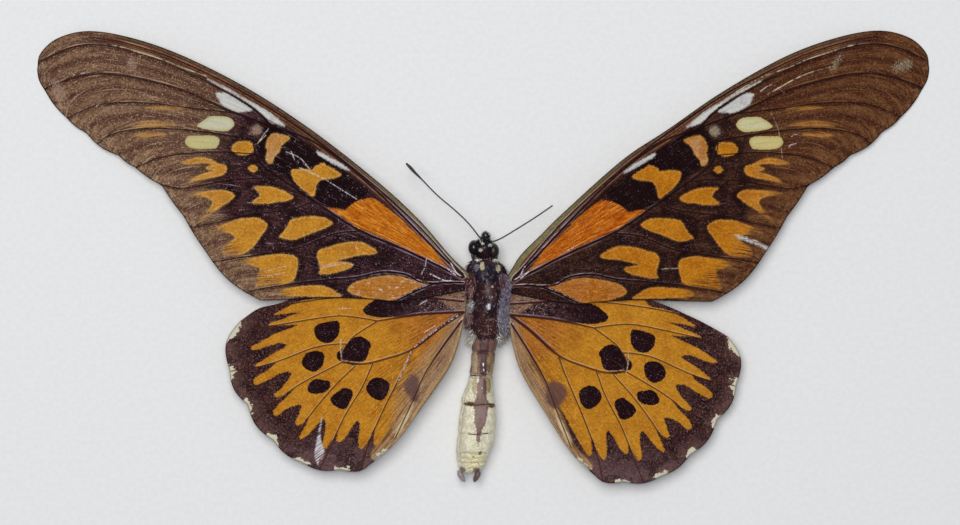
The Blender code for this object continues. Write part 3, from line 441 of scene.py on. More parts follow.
def node(tree, kind, links=None, out=0, **settings):
    """Adds one shader node with its settings and links, and gives back one of its outputs or all."""
    made = tree.nodes.new("ShaderNode" + kind)
    for key, value in settings.items():
        setattr(made, key, value)
    for key, value in (links or {}).items():
        if isinstance(value, bpy.types.NodeSocket):
            tree.links.new(value, made.inputs[key])
        else:
            made.inputs[key].default_value = value
    return made.outputs if out is None else made.outputs[out]


def lay_over(tree, colour, layers):
    """Lays tones over a colour in turn. A layer is (tone, driver, start, end, strength): none of it shows
    where the driver is at start, and it rises smoothly to its full strength at end. A strength may itself
    be such a rise, (driver, start, end, strength), and then the two multiply."""
    colour = linear(colour) if isinstance(colour, str) else colour
    for tone, *rise in layers:
        rises = [rise]
        while isinstance(rises[-1][3], tuple):
            rises.append(rises[-1][3])
        amount = rises[-1][3]
        for driver, start, end, _ in reversed(rises):
            amount = node(tree, "MapRange", {"Value": driver, "From Min": start, "From Max": end,
                                             "To Min": 0.0, "To Max": amount},
                          interpolation_type="SMOOTHSTEP")
        tone = linear(tone) if isinstance(tone, str) else tone
        colour = node(tree, "MixRGB", {"Fac": amount, "Color1": colour, "Color2": tone})
    return colour


def new_material(name, roughness, specular):
    """An empty material: itself, its node tree and its shader."""
    material = bpy.data.materials.new(name)
    material.use_nodes = True
    shader = material.node_tree.nodes["Principled BSDF"]
    shader.inputs["Roughness"].default_value = roughness
    shader.inputs["Specular IOR Level"].default_value = specular
    return material, material.node_tree, shader


def curve_through(points, spacing):
    """A smooth curve through the points: Catmull-Rom, sampled about every spacing millimetres."""
    p = np.array(points, float)
    p = np.vstack([2 * p[0] - p[1], p, 2 * p[-1] - p[-2]])
    rows = []
    for a, b, c, d in zip(p[:-3], p[1:-2], p[2:-1], p[3:]):
        steps = max(1, round(float(np.linalg.norm(c - b)) / spacing))
        t = (np.arange(steps) / steps)[:, None]
        rows.append(0.5 * (2 * b + (c - a) * t + (2 * a - 5 * b + 4 * c - d) * t ** 2
                           + (3 * b - a - 3 * c + d) * t ** 3))
    return np.vstack(rows + [p[-2][None]])


def loop_through(points, spacing):
    """The same curve, closed: it starts three points early and ends two late, and the laps are cut off."""
    whole = curve_through(points[-3:] + points + points[:2], spacing)
    first, last = [int(np.argmin(np.linalg.norm(part - points[0], axis=1)))
                   for part in (whole[:len(whole) // 2], whole[len(whole) // 2:])]
    return whole[first:len(whole) // 2 + last]


def lobed_edge(notches, bulges, spacing):
    """Between two notches the margin swells outwards as half a sine wave."""
    rows = []
    for start, end, bulge in zip(notches[:-1], notches[1:], bulges):
        a, b = np.array(start, float), np.array(end, float)
        run = b - a
        length = np.linalg.norm(run)
        outward = np.array([-run[1], run[0]]) / length
        steps = max(2, round(length / spacing))
        t = (np.arange(steps) / steps)[:, None]
        rows.append(a + run * t + outward * bulge * np.sin(math.pi * t))
    return np.vstack(rows + [np.array(notches[-1], float)[None]])


def resample(path, count):
    """Points at equal steps of length along a path."""
    length = np.concatenate([[0], np.cumsum(np.linalg.norm(np.diff(path, axis=0), axis=1))])
    at = np.linspace(0, length[-1], count)
    return np.stack([np.interp(at, length, path[:, n]) for n in range(path.shape[1])], axis=1)


def distance_to(points, path, reach=9.0):
    """Shortest distance of each point from a path of straight runs, never above reach, and which side of
    the path the point is on: 1 to the left of its direction, -1 to the right."""
    best, side = np.full(len(points), reach ** 2), np.ones(len(points))
    for start in range(0, len(path) - 1, 10):
        part = path[start:start + 11]
        near = ((points > part.min(0) - reach) & (points < part.max(0) + reach)).all(axis=1)
        p, close, hand = points[near], best[near], side[near]
        for a, b in zip(part[:-1], part[1:]):
            run = b - a
            away = p - a
            t = np.clip(away @ run / max(run @ run, 1e-12), 0, 1)
            gap = ((away - t[:, None] * run) ** 2).sum(axis=1)
            nearer = gap < close
            close = np.where(nearer, gap, close)
            hand = np.where(nearer, np.sign(run[0] * away[:, 1] - run[1] * away[:, 0]), hand)
        best[near], side[near] = close, hand
    return np.sqrt(best), side


def signed_distance(points, shapes, shifts=None, reach=4.0):
    """Distance to the nearest of the closed outlines, less than zero inside one and never above reach.
    A point is inside where a ray from it crosses the outline an odd number of times."""
    result = np.full(len(points), reach)
    for name, shape in shapes.items():
        loop = loop_through(shape, 0.35) + np.array((shifts or {}).get(name, (0, 0)))
        near = ((points > loop.min(0) - reach) & (points < loop.max(0) + reach)).all(axis=1)
        p = points[near]
        crossings = np.zeros(len(p), int)
        for (ax, ay), (bx, by) in zip(loop, np.roll(loop, -1, axis=0)):
            spans = (ay > p[:, 1]) != (by > p[:, 1])
            slope = (bx - ax) / (by - ay) if by != ay else 0
            crossings += spans & (p[:, 0] < ax + slope * (p[:, 1] - ay))
        away = distance_to(p, np.vstack([loop, loop[:1]]), reach)[0]
        result[near] = np.minimum(result[near], np.where(crossings % 2 == 1, -away, away))
    return result


def nearest_path(points, paths, reach=4.0):
    """Distance of each point from the nearest of the open paths, never above reach."""
    return np.min([distance_to(points, curve_through(path, 0.4), reach)[0] for path in paths], axis=0)


def ease(value, low, high):
    """0 below low, 1 above high and a smooth rise between."""
    t = np.clip((value - low) / (high - low), 0, 1)
    return t * t * (3 - 2 * t)


def wing_top(x, drop):
    """Height of a wing's upper face: a gentle arch from the body down to the tip."""
    return ROOT_TOP - drop - (ROOT_TOP - TIP_TOP) * (np.abs(x) / (WINGSPAN / 2)) ** ARCH


def place_wing(points, place):
    """From the drawing (out, forward) to world X and Y."""
    angle = math.radians(place["turn"])
    out, forward = points[:, 0] * place["reach"], points[:, 1] * place["depth"]
    x = place["mirror"] * (out * math.cos(angle) - forward * math.sin(angle) + place["move"][0])
    y = out * math.sin(angle) + forward * math.cos(angle) + place["move"][1]
    return x, y


def wing_grid(top, bottom, root, outer, along, across):
    """Blends the four sides of a wing (a Coons patch): each point is the mean of the sides, weighted by
    how near it is to them, less the doubly counted corners. Rows run across, columns run outwards."""
    top, bottom = resample(top, along + 1), resample(bottom, along + 1)
    root, outer = resample(root, across + 1), resample(outer, across + 1)
    u = np.linspace(0, 1, along + 1)[None, :, None]
    v = np.linspace(0, 1, across + 1)[:, None, None]
    sides = (1 - v) * bottom[None] + v * top[None] + (1 - u) * root[:, None] + u * outer[:, None]
    corners = ((1 - u) * (1 - v) * bottom[0] + u * (1 - v) * bottom[-1]
               + (1 - u) * v * top[0] + u * v * top[-1])
    return sides - corners


def grid_faces(rows, columns, start=0):
    """The four-sided faces of a grid of points."""
    n = (np.arange(rows - 1)[:, None] * columns + np.arange(columns - 1)[None]).ravel() + start
    return np.stack([n, n + 1, n + columns + 1, n + columns], axis=1)


def rim_order(rows, columns, start=0):
    """Indices once round the edge of a grid."""
    n = np.arange(rows * columns).reshape(rows, columns) + start
    return np.concatenate([n[0, :-1], n[:-1, -1], n[-1, :0:-1], n[:0:-1, 0]])


def new_mesh(name, points, faces, smooth=True):
    """A mesh from points in metres."""
    mesh = bpy.data.meshes.new(name)
    mesh.from_pydata(points, [], faces)
    mesh.polygons.foreach_set("use_smooth", np.full(len(mesh.polygons), smooth))
    mesh.update()
    return mesh


def add_piece(name, mesh, materials, nodes=()):
    """A finished piece at the origin: it rides on the one body and may stand for solids."""
    for material in materials:
        mesh.materials.append(material)
    piece = bpy.data.objects.new(name, mesh)
    bpy.context.scene.collection.objects.link(piece)
    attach(piece, "root")
    if nodes:
        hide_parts(*nodes)
    return piece


def write_attribute(mesh, name, columns):
    """Three numbers at each point, for the materials to read."""
    values = np.stack(columns, axis=1).astype(np.float32)
    attribute = mesh.attributes.new(name, "FLOAT_VECTOR", "POINT")
    attribute.data.foreach_set("vector", values.ravel())


def soft_swell(x, y, seed, shortest=9, longest=30):
    """A soft random swell: six sine waves in random directions, about -1 to 1."""
    rng = np.random.default_rng(seed)
    total = np.zeros_like(x)
    for _ in range(6):
        angle, phase = rng.uniform(0, math.tau, 2)
        length = rng.uniform(shortest, longest)
        total += np.sin((x * math.cos(angle) + y * math.sin(angle)) * math.tau / length + phase)
    return total / 3


def build_wing(name, sides, veins, place, drop, fields, materials, counts, seed):
    """A closed wing: a fine upper face and a lower face with a third of its rows, joined round the rim.

    Height is the arch, plus a ridge on each vein that falls off as a bell curve, less a shallow trough
    between veins, plus a soft swell that fades out towards the root. One side of a tear is lifted, and
    the lift dies away as an exponential curve.
    """
    along, across = counts
    grid = wing_grid(*sides, along, across)
    rows, columns = across + 1, along + 1
    flat = grid.reshape(-1, 2)
    found = [distance_to(flat, curve_through(points, 0.8), 12.0) for _, points in veins]
    gaps = np.array([gap for gap, _ in found])
    order = np.sort(gaps, axis=0)
    vein, fold = order[0], (order[1] - order[0]) / 2
    nearest = gaps.argmin(axis=0)
    hand = np.take_along_axis(np.array([side for _, side in found]), nearest[None], 0)[0]
    width = np.array([half for half, _ in veins])[nearest]
    out = np.linalg.norm(flat - flat[0], axis=1)
    x, y = place_wing(flat, place)
    swell = SWELL_HEIGHT * soft_swell(x, y, seed) * ease(out, 4, 18)
    body = wing_top(x, drop) - WING_SINK - TROUGH_DEPTH * ease(vein, 0.3, 1.8) * ease(out, 3, 12) + swell
    if name in TEARS:
        gap, hand_of_tear = distance_to(flat, curve_through(TEARS[name], 0.4), 3.0)
        body += LIP_HEIGHT * np.exp(-gap / LIP_FADE) * (hand_of_tear > 0)
    top = np.maximum(body, WING_LOWEST) + RIDGE_HEIGHT * np.exp(-(vein / RIDGE_WIDTH) ** 2)
    columns_of = fields(flat, vein * hand / width, fold, grid)
    low = grid[::3, ::3].reshape(-1, 2)
    pick = (np.arange(rows)[::3, None] * columns + np.arange(columns)[None, ::3]).ravel()
    bottom = np.maximum(body[pick], WING_LOWEST) - WING_SKIN
    lx, ly = place_wing(low, place)
    points = np.concatenate([np.stack([x, y, top], 1), np.stack([lx, ly, bottom], 1)]) * MM
    upper = grid_faces(rows, columns)
    low_rows, low_columns = across // 3 + 1, along // 3 + 1
    lower = grid_faces(low_rows, low_columns, len(flat))[:, ::-1]
    high_rim, low_rim = rim_order(rows, columns), rim_order(low_rows, low_columns, len(flat))
    high_next = np.roll(high_rim, -1)
    rim = np.stack([low_rim, np.roll(low_rim, -1), high_next[2::3], high_rim[2::3], high_rim[1::3],
                    high_rim[::3]], axis=1)
    if place["mirror"] < 0:
        upper, lower, rim = upper[:, ::-1], lower[:, ::-1], rim[:, ::-1]
    mesh = new_mesh(name, points.tolist(), upper.tolist() + lower.tolist() + rim.tolist())
    for key, values in columns_of.items():
        write_attribute(mesh, key, [np.concatenate([value, value[pick]]) for value in values])
    marks = np.zeros(len(mesh.polygons), np.int32)
    marks[len(upper):len(upper) + len(lower)] = 1
    mesh.polygons.foreach_set("material_index", marks)
    return add_piece(name + "_dressed", mesh, materials, [name])


def along_and_across(flat, grid, lanes):
    """Distance from the wing's root, and which row a point is on, from 0 to the number of lanes. Rays,
    streaks and threads follow these."""
    row = np.repeat(np.linspace(0, 1, grid.shape[0]), grid.shape[1])
    return np.linalg.norm(flat - flat[0], axis=1), row * lanes


def forewing_fields(side):
    """What the shader needs at each point of a forewing: distances in mm to markings, folds, edges, worn
    places and painted highlights, in half widths to veins, and slow blends."""
    shifts = RIGHT_SHIFTS if side == "right" else None
    clear = {**FORE_CLEAR, **(FORE_SLIT if side == "right" else {})}

    def fields(flat, vein, fold, grid):
        out, forward = flat[:, 0], flat[:, 1]
        margin = distance_to(flat, np.vstack([grid[0], grid[:, -1], grid[-1][::-1]]), 2.0)[0]
        outer = distance_to(flat, grid[::4, -1], 14.0)[0]
        costa = distance_to(flat, grid[-1, ::4], 6.0)[0]
        tip = np.maximum(ease(out + 0.3 * forward, 62, 84), ease(-outer, -11, -4))
        return {"marks": (signed_distance(flat, FORE_OCHRE, shifts),
                          signed_distance(flat, FORE_CREAM, shifts), signed_distance(flat, clear)),
                "lines": (vein, margin, signed_distance(flat, FORE_CELL_BASE)),
                "zones": (tip, costa, fold),
                "flow": (*along_and_across(flat, grid, FORE_LANES), outer),
                "wear": (nearest_path(flat, FORE_SCRATCHES_AND_GLINTS[side]), signed_distance(flat, FORE_RUBBED[side]),
                         nearest_path(flat, FORE_GLEAMS[side])),
                "ground": (signed_distance(flat, FORE_CELL_DARK), out, forward)}
    return fields


def hindwing_fields(side):
    """The same for a hindwing."""
    def fields(flat, vein, fold, grid):
        out, forward = flat[:, 0], flat[:, 1]
        margin = distance_to(flat, grid[:, -1], 12.0)[0]
        inner = distance_to(flat, grid[0, ::4], 16.0)[0]
        hairy = np.interp(forward, HAIRY_AT, HAIRY_WIDTH[side])
        root = ease(-np.linalg.norm(flat - np.array(HIND_ROOT), axis=1), -24, -6)
        return {"marks": (signed_distance(flat, HIND_FIELD), signed_distance(flat, HIND_SPOTS),
                          signed_distance(flat, HIND_LUNULES)),
                "lines": (vein, margin, signed_distance(flat, HIND_FADED[side])),
                "zones": (inner / hairy, root, signed_distance(flat, HIND_PALE)),
                "flow": (*along_and_across(flat, grid, HIND_LANES), inner),
                "wear": (nearest_path(flat, HIND_SCRATCHES_AND_GLINTS[side]), signed_distance(flat, HIND_SCUFFS[side]),
                         nearest_path(flat, HIND_GLEAMS[side])),
                "ground": (signed_distance(flat, HIND_HUMERAL), out, forward)}
    return fields


def wing_drivers(tree, markings):
    """The numbers that every wing material is driven by: the attributes' parts, patterns, the distances from
    either flank of the veins, where highlights are painted, and the six markings' distances with uneven
    edges. Real scales are 0.1 mm wide, too fine to show, so the grain is drawn at 0.4 mm and the threads,
    which follow the veins, at 0.3 mm. The glint pattern, in clusters of 0.35 mm, paints pale specks: loose
    pale scales, and painted glints of light. Mottles are 1.2 mm wide and blotches 4 mm."""
    d = {}
    for name in ("marks", "lines", "zones", "flow", "wear", "ground"):
        vector = node(tree, "Attribute", out=1, attribute_name=name)
        d[name] = node(tree, "SeparateXYZ", {0: vector}, out=None)
    flow = node(tree, "Attribute", out=1, attribute_name="flow")
    place = node(tree, "TexCoord", out=3)
    for name, scale in (("ray", (0.3, 0.5, 0.0)), ("streak", (0.2, 1.5, 0.0)), ("thread", (0.12, 3.0, 0.0))):
        stretched = node(tree, "Mapping", {"Vector": flow, "Scale": scale})
        d[name] = node(tree, "TexNoise", {"Vector": stretched, "Scale": 1.0, "Detail": 3.0, "Roughness": 0.6})
    for name, per_mm, detail, roughness in (("grain", 2.3, 2.0, 0.5), ("glint", 2.9, 3.0, 0.7),
                                            ("mottle", 0.8, 3.0, 0.6), ("blotch", 0.24, 4.0, 0.65)):
        d[name] = node(tree, "TexNoise", {"Vector": place, "Scale": per_mm / MM, "Detail": detail,
                                          "Roughness": roughness})
    d["vein"] = node(tree, "Math", {0: d["lines"][0]}, operation="ABSOLUTE")
    # Distances from either flank of a vein, where highlights are painted.
    for name, at in (("flank", 1.8), ("far_flank", -1.8)):
        gap = node(tree, "Math", {0: d["lines"][0], 1: at}, operation="SUBTRACT")
        d[name] = node(tree, "Math", {0: gap}, operation="ABSOLUTE")
    ragged = node(tree, "Math", {0: d["grain"], 1: 0.9, 2: -0.8}, operation="MULTIPLY_ADD")
    ragged = node(tree, "Math", {0: d["thread"], 1: 0.7, 2: ragged}, operation="MULTIPLY_ADD")
    frayed = node(tree, "Math", {0: d["streak"], 1: 2.4, 2: -1.2}, operation="MULTIPLY_ADD")
    even = node(tree, "Math", {0: ragged, 1: 0.4}, operation="MULTIPLY")
    distances = (*d["marks"], d["lines"][2], d["zones"][2], d["ground"][0])
    for name, distance, uneven in zip(markings, distances, (ragged, even, ragged, ragged, frayed, frayed)):
        d[name] = node(tree, "Math", {0: distance, 1: uneven}, operation="ADD")
    return d


def speckle(tree, colour, *patterns):
    """Each scale is a little lighter or darker than the next: every pattern changes the colour by up to
    its part."""
    for driver, part in patterns:
        amount = node(tree, "MapRange", {"Value": driver, "From Min": 0.33, "From Max": 0.67,
                                         "To Min": 1 - part, "To Max": 1 + part})
        colour = node(tree, "VectorMath", {0: colour, 3: amount}, operation="SCALE")
    return colour


def finish(tree, shader, colour, height, strength, depth):
    """Gives the shader its colour and a relief: height is the pattern, depth its real one in mm."""
    tree.links.new(colour, shader.inputs["Base Color"])
    raised = node(tree, "Bump", {"Height": height, "Strength": strength, "Distance": depth * MM})
    tree.links.new(raised, shader.inputs["Normal"])


def finish_scales(tree, shader, colour, d):
    """The rows of scales catch the light."""
    rows = node(tree, "Math", {0: d["streak"], 1: 1.2, 2: d["grain"]}, operation="MULTIPLY_ADD")
    finish(tree, shader, colour, rows, 0.6, 0.14)


def forewing_scales(name, tones):
    """Overlapping dull scales on a dry forewing: purple-black at the base, brown at the tip, with ochre
    and cream patches and a few places where the scales are rubbed off the clear membrane. Pale lines beside
    the veins, glints and gleams are painted highlights, and the dark rim is partly painted shade."""
    material, tree, shader = new_material(name, 0.6, 0.04)
    d = wing_drivers(tree, ("ochre", "cream", "clear", "fan", "crease", "cell"))
    tip, costa = d["zones"][0], d["zones"][1]
    vein, flank, far_flank, margin = d["vein"], d["flank"], d["far_flank"], d["lines"][1]
    scratches_and_glints, rubbed, gleam = d["wear"][:3]
    out, forward, outer = d["ground"][1], d["ground"][2], d["flow"][2]
    gold = lay_over(tree, tones["ochre"], [
        (tones["tan"], out, 45.5, 48.5, (d["cell"], 0.5, -0.5, 0.8)),
        (tones["tan_brown"], forward, -3.0, -5.0, (out, 38, 28, 0.6)),
        (tones["ochre_deep"], d["blotch"], 0.45, 0.62, 0.7), (tones["tan"], out, 52, 86, 0.4),
        (tones["ochre_deep"], d["thread"], 0.5, 0.62, 0.5),
        (tones["ochre_pale"], d["glint"], 0.57, 0.64, 0.5),
        (tones["ochre_pale"], d["ochre"], -0.5, -0.1, 0.4),
        (tones["fan_deep"], d["streak"], 0.5, 0.6, (out, 34, 26, 0.5)),
        # Painted highlights: pale glossy dashes on the ochre near the root.
        (tones["spark"], d["thread"], 0.55, 0.62, (d["mottle"], 0.53, 0.6, (out, 36, 28, 0.9)))])
    fan = lay_over(tree, tones["fan"], [
        (tones["fan_deep"], d["ray"], 0.48, 0.6, 0.9), (tones["fan_pale"], d["ray"], 0.46, 0.36, 0.8),
        (tones["fan_deep"], d["streak"], 0.52, 0.6, 0.6), (tones["fan_bright"], d["streak"], 0.44, 0.36, 0.7),
        (tones["cell"], d["fan"], -0.7, 0.1, (d["streak"], 0.5, 0.6, 0.6)),
        (tones["fan_bright"], d["glint"], 0.6, 0.66, 0.6)])
    butter = lay_over(tree, tones["cream"], [
        (tones["cream_low"], forward, 29.1, 28.7, 1.0), (tones["cream_deep"], d["marks"][1], -0.8, -0.2, 0.6),
        (tones["cream_deep"], d["thread"], 0.52, 0.62, 0.4)])
    bare = lay_over(tree, tones["clear"], [
        (tones["clear_dull"], d["thread"], 0.5, 0.62, 0.5),
        (tones["clear_dull"], d["blotch"], 0.5, 0.62, 0.6)])
    wing = lay_over(tree, tones["base"], [
        (tones["warm"], d["mottle"], 0.48, 0.6, 0.6), (tones["warm"], out, 26, 52, 0.5),
        # Pale specks and streaks of loose scales, and lighter bands beside the veins that are painted sheen.
        (tones["dust_and_sheen"], d["glint"], 0.52, 0.62, 0.7),
        (tones["dust_and_sheen"], d["streak"], 0.53, 0.63, 0.35),
        (tones["dust_and_sheen"], vein, 5.0, 2.0, (d["thread"], 0.46, 0.56, 0.5)),
        (tones["cell"], d["ochre"], 2.4, 0.5, 0.6),
        (tones["cell"], d["cell"], 0.5, -0.7, 0.92),
        (tones["cell"], d["blotch"], 0.5, 0.6, 0.7),
        # Painted glints: lilac specks and dashes on the dark scales.
        (tones["lilac"], d["glint"], 0.6, 0.66, (d["mottle"], 0.5, 0.4, 0.8)),
        (tones["lilac"], d["thread"], 0.62, 0.67, (d["mottle"], 0.56, 0.48, 0.35)),
        (tones["tip"], tip, 0.0, 1.0, 1.0),
        (tones["tip_gold"], d["glint"], 0.49, 0.58, (tip, 0.2, 1.0, 0.7)),
        (tones["tip_streak"], d["streak"], 0.49, 0.58, (tip, 0.2, 1.0, 0.7)),
        (tones["fold"], d["crease"], 1.2, 0.1, (tip, 0.0, 0.8, 0.75)),
        (tones["fold"], vein, 6.0, 1.5, (tip, 0.0, 0.8, 0.85)),
        (tones["haze"], d["glint"], 0.56, 0.64, (tip, 0.0, 0.8, 0.8)),
        (tones["haze"], d["thread"], 0.58, 0.64, (tip, 0.0, 0.8, 0.6)),
        (tones["haze"], outer, 5.0, 0.5, (d["mottle"], 0.48, 0.62, 0.35))])
    edged = lay_over(tree, wing, [
        (tones["costa"], costa, 2.9, 2.6, (out, 93, 84, 1.0)),
        (tones["costa_gold"], d["thread"], 0.5, 0.58, (costa, 2.7, 2.4, (out, 93, 84, 0.4))),
        (tones["olive"], out, 36, 14, (costa, 1.5, 1.1, 0.9)),
        (tones["edge_olive"], d["grain"], 0.5, 0.58, (out, 36, 20, (costa, 1.6, 1.1, 0.8)))])
    for place, half, tone, strength in COSTAL_STRIPES:
        gap = node(tree, "Math", {0: costa, 1: place}, operation="SUBTRACT")
        gap = node(tree, "Math", {0: gap}, operation="ABSOLUTE")
        edged = lay_over(tree, edged, [(tones[tone], gap, half + 0.08, half - 0.08, (out, 93, 80, (
            out, 8, 26, (d["grain"], 0.36, 0.52, strength))))])
    gold, fan, butter, bare, edged = [
        speckle(tree, tone, (d["grain"], part), (d["mottle"], part / 2))
        for tone, part in ((gold, 0.2), (fan, 0.18), (butter, 0.05), (bare, 0.06), (edged, 0.3))]
    colour = lay_over(tree, edged, [
        (gold, d["ochre"], 0.5, -0.6, (d["thread"], 0.42, 0.54, 1.0)),
        (gold, d["ochre"], 0.12, -0.12, (tip, 0.98, 0.5, 1.0)),
        (fan, d["fan"], 0.12, -0.12, 1.0),
        (butter, d["cream"], 0.1, -0.1, 1.0),
        (bare, d["clear"], 0.35, -0.25, 0.92),
        # Painted highlights along the flanks of the veins, where their ridges catch the light.
        (tones["gleam"], flank, 0.8, 0.3, (d["thread"], 0.44, 0.54, (out, 48, 8, 1.0))),
        (tones["gleam"], far_flank, 0.8, 0.3, (d["streak"], 0.46, 0.56, (out, 40, 6, 0.7))),
        (tones["haze"], flank, 1.1, 0.4, (d["thread"], 0.46, 0.56, (tip, 0.0, 0.6, 0.7))),
        (tones["glow"], flank, 0.8, 0.3, (d["thread"], 0.48, 0.56, (out, 24, 7, 0.9))),
        (tones["vein"], vein, 1.35, 0.65, (tip, 3.0, 0.0, 0.92)),
        # A dark rim round the margin: the wing's own dark edge and, along the hind edge, also painted shade
        # where the forewing lies over the hindwing.
        (tones["edge"], margin, 0.36, 0.08, 0.85),
        (tones["rubbed"], rubbed, 0.4, -0.6, (out, 64, 56, 0.6)),
        (tones["rubbed"], rubbed, 0.1, -0.7, (out, 74, 78, 0.3)),
        (tones["rubbed"], d["glint"], 0.5, 0.58, (rubbed, 0.9, -0.5, 0.75)),
        # Scratches, some of them painted glints, then the gleams: painted highlights.
        (tones["scratches_and_glints"], scratches_and_glints, 0.19, 0.06, (d["glint"], 0.42, 0.52, 0.7)),
        (tones["shine"], gleam, 0.2, 0.06, (d["mottle"], 0.38, 0.56, (out, 26, 30, 0.85))),
        (tones["glow"], gleam, 0.2, 0.06, (d["grain"], 0.38, 0.48, (out, 30, 26, 0.9)))])
    finish_scales(tree, shader, colour, d)
    return material


def hindwing_scales(name, tones):
    """Overlapping dull scales on a dry hindwing: ochre with velvet-black spots, a dark border with pale
    crescents at the notches, and brown hairy scales along the inner margin. Pale lines beside the veins,
    glints and gleams are painted highlights."""
    material, tree, shader = new_material(name, 0.6, 0.04)
    d = wing_drivers(tree, ("field", "spots", "crescents", "ghost", "tail", "humeral"))
    inner, root = d["zones"][0], d["zones"][1]
    vein, flank, margin = d["vein"], d["flank"], d["lines"][1]
    scratches_and_glints, scuff, gleam = d["wear"][:3]
    out, forward = d["ground"][1], d["ground"][2]
    border = lay_over(tree, tones["border"], [
        (tones["border_warm"], d["mottle"], 0.46, 0.6, 0.7), (tones["border_pale"], margin, 4.5, 0.5, 0.4),
        (tones["border_grey"], forward, -40, -49, 0.6), (tones["spot"], d["blotch"], 0.48, 0.6, 0.7),
        (tones["border_pale"], d["glint"], 0.53, 0.63, 0.85),
        # Painted glints: lilac specks on the dark border.
        (tones["lilac"], d["glint"], 0.62, 0.67, (d["mottle"], 0.52, 0.44, 0.8))])
    gold = lay_over(tree, tones["ochre"], [
        (tones["ochre_deep"], d["blotch"], 0.45, 0.62, 0.7), (tones["cell"], root, 0.0, 0.8, 1.0),
        (tones["cell_streak"], d["streak"], 0.48, 0.58, (root, -0.2, 0.6, 0.85)),
        (tones["ochre_pale"], d["thread"], 0.44, 0.36, (root, 0.1, 0.7, 0.5)),
        (tones["cell_streak"], d["streak"], 0.5, 0.58, (inner, 2.4, 1.2, 0.6)),
        (tones["ochre_deep"], d["thread"], 0.52, 0.62, 0.5),
        (tones["ochre_pale"], d["glint"], 0.57, 0.64, 0.5)])
    brown = lay_over(tree, tones["anal"], [
        (tones["anal_gold"], inner, 0.3, 1.0, 0.75),
        (tones["anal_dark"], d["streak"], 0.5, 0.6, 0.75), (tones["anal_pale"], d["thread"], 0.5, 0.58, 0.9),
        (tones["anal_pale"], inner, 0.22, 0.06, 0.75), (tones["anal_dark"], inner, 0.08, 0.02, 0.6)])
    black = lay_over(tree, tones["spot"], [
        (tones["border"], d["mottle"], 0.5, 0.7, 0.5),
        (tones["root_brown"], out, 26.0, 10.0, (d["mottle"], 0.36, 0.6, 0.9)),
        # Painted glints on the black spots, more of them near the root.
        (tones["scratches_and_glints"], d["glint"], 0.59, 0.65, (out, 20, 10, 0.7)),
        (tones["lilac"], d["glint"], 0.61, 0.67, 0.6)])
    gold, brown, border = [speckle(tree, tone, (d["grain"], part), (d["mottle"], part / 2))
                           for tone, part in ((gold, 0.18), (brown, 0.18), (border, 0.26))]
    crescent = node(tree, "Math", {0: d["mottle"], 1: 2.8, 2: d["crescents"]}, operation="MULTIPLY_ADD")
    colour = lay_over(tree, border, [
        (gold, d["field"], 0.1, -0.1, 1.0),
        (brown, inner, 1.3, 0.7, 0.95),
        (tones["tail"], d["tail"], 0.4, -0.4, (d["streak"], 0.34, 0.5, 0.9)),
        (tones["ghost"], d["ghost"], 0.5, -0.7, 0.85),
        (black, d["spots"], 0.1, -0.1, 1.0),
        (tones["humeral"], d["humeral"], 0.3, -0.3, 0.9),
        (tones["border_warm"], d["mottle"], 0.5, 0.4, (d["humeral"], 0.3, -0.3, 0.8)),
        (tones["anal_pale"], d["streak"], 0.52, 0.6, (d["humeral"], 0.3, -0.3, 0.8)),
        # Painted glints on the humeral patch.
        (tones["scratches_and_glints"], d["glint"], 0.58, 0.64, (d["humeral"], 0.6, -0.3, 0.7)),
        (tones["cream"], crescent, 1.25, 1.1, 1.0),
        # Painted highlights along the flanks of the veins, more of them near the root.
        (tones["vein_highlight"], flank, 1.1, 0.4, (
            d["streak"], 0.38, 0.5, (d["field"], 0.6, -0.4, (root, 0.5, 0.0, 0.6)))),
        (tones["gleam"], flank, 2.2, 1.0, (d["thread"], 0.46, 0.56, (root, 0.3, 0.9, 0.8))),
        (tones["vein"], vein, 1.6, 0.8, 0.85), (tones["vein_root"], vein, 2.4, 1.2, (root, 0.1, 0.7, 0.9)),
        (tones["edge"], margin, 0.4, 0.1, 0.5),
        (tones["scuff"], scuff, 0.1, -0.4, (d["thread"], 0.42, 0.52, 0.9)),
        # Scratches, some of them painted glints, then the gleams: painted highlights.
        (tones["scratches_and_glints"], scratches_and_glints, 0.19, 0.06, (d["glint"], 0.42, 0.52, 0.65)),
        (tones["shine"], gleam, 0.18, 0.05, (d["grain"], 0.44, 0.54, 0.75))])
    finish_scales(tree, shader, colour, d)
    return material


FORE_TONES = {"base": "#230d13", "warm": "#361913", "dust_and_sheen": "#644449", "cell": "#140205",
              "lilac": "#b7a2b2", "tip": "#735443", "tip_gold": "#8a6c42", "tip_streak": "#523128",
              "fold": "#48261f", "haze": "#ab9276", "olive": "#8c8158", "edge_olive": "#5a5038",
              "costa": "#57352a", "costa_gold": "#93623c", "ochre": "#bf8326", "ochre_deep": "#ac6d18",
              "ochre_pale": "#d6aa62", "tan": "#b48b62", "tan_brown": "#a1663c", "fan": "#c06a06",
              "fan_deep": "#a04a02", "fan_pale": "#d18624", "fan_bright": "#e2b05a", "cream": "#c4c1a6",
              "cream_low": "#c0b680", "cream_deep": "#b3ab72", "clear": "#d2d3cd",
              "clear_dull": "#a99ca2", "vein": "#1a080a", "edge": "#190d0d", "rubbed": "#a48877",
              "scratches_and_glints": "#d3c8cb", "gleam": "#b39caf", "glow": "#e0d0da", "spark": "#e6d6d2",
              "shine": "#d8c8a4"}
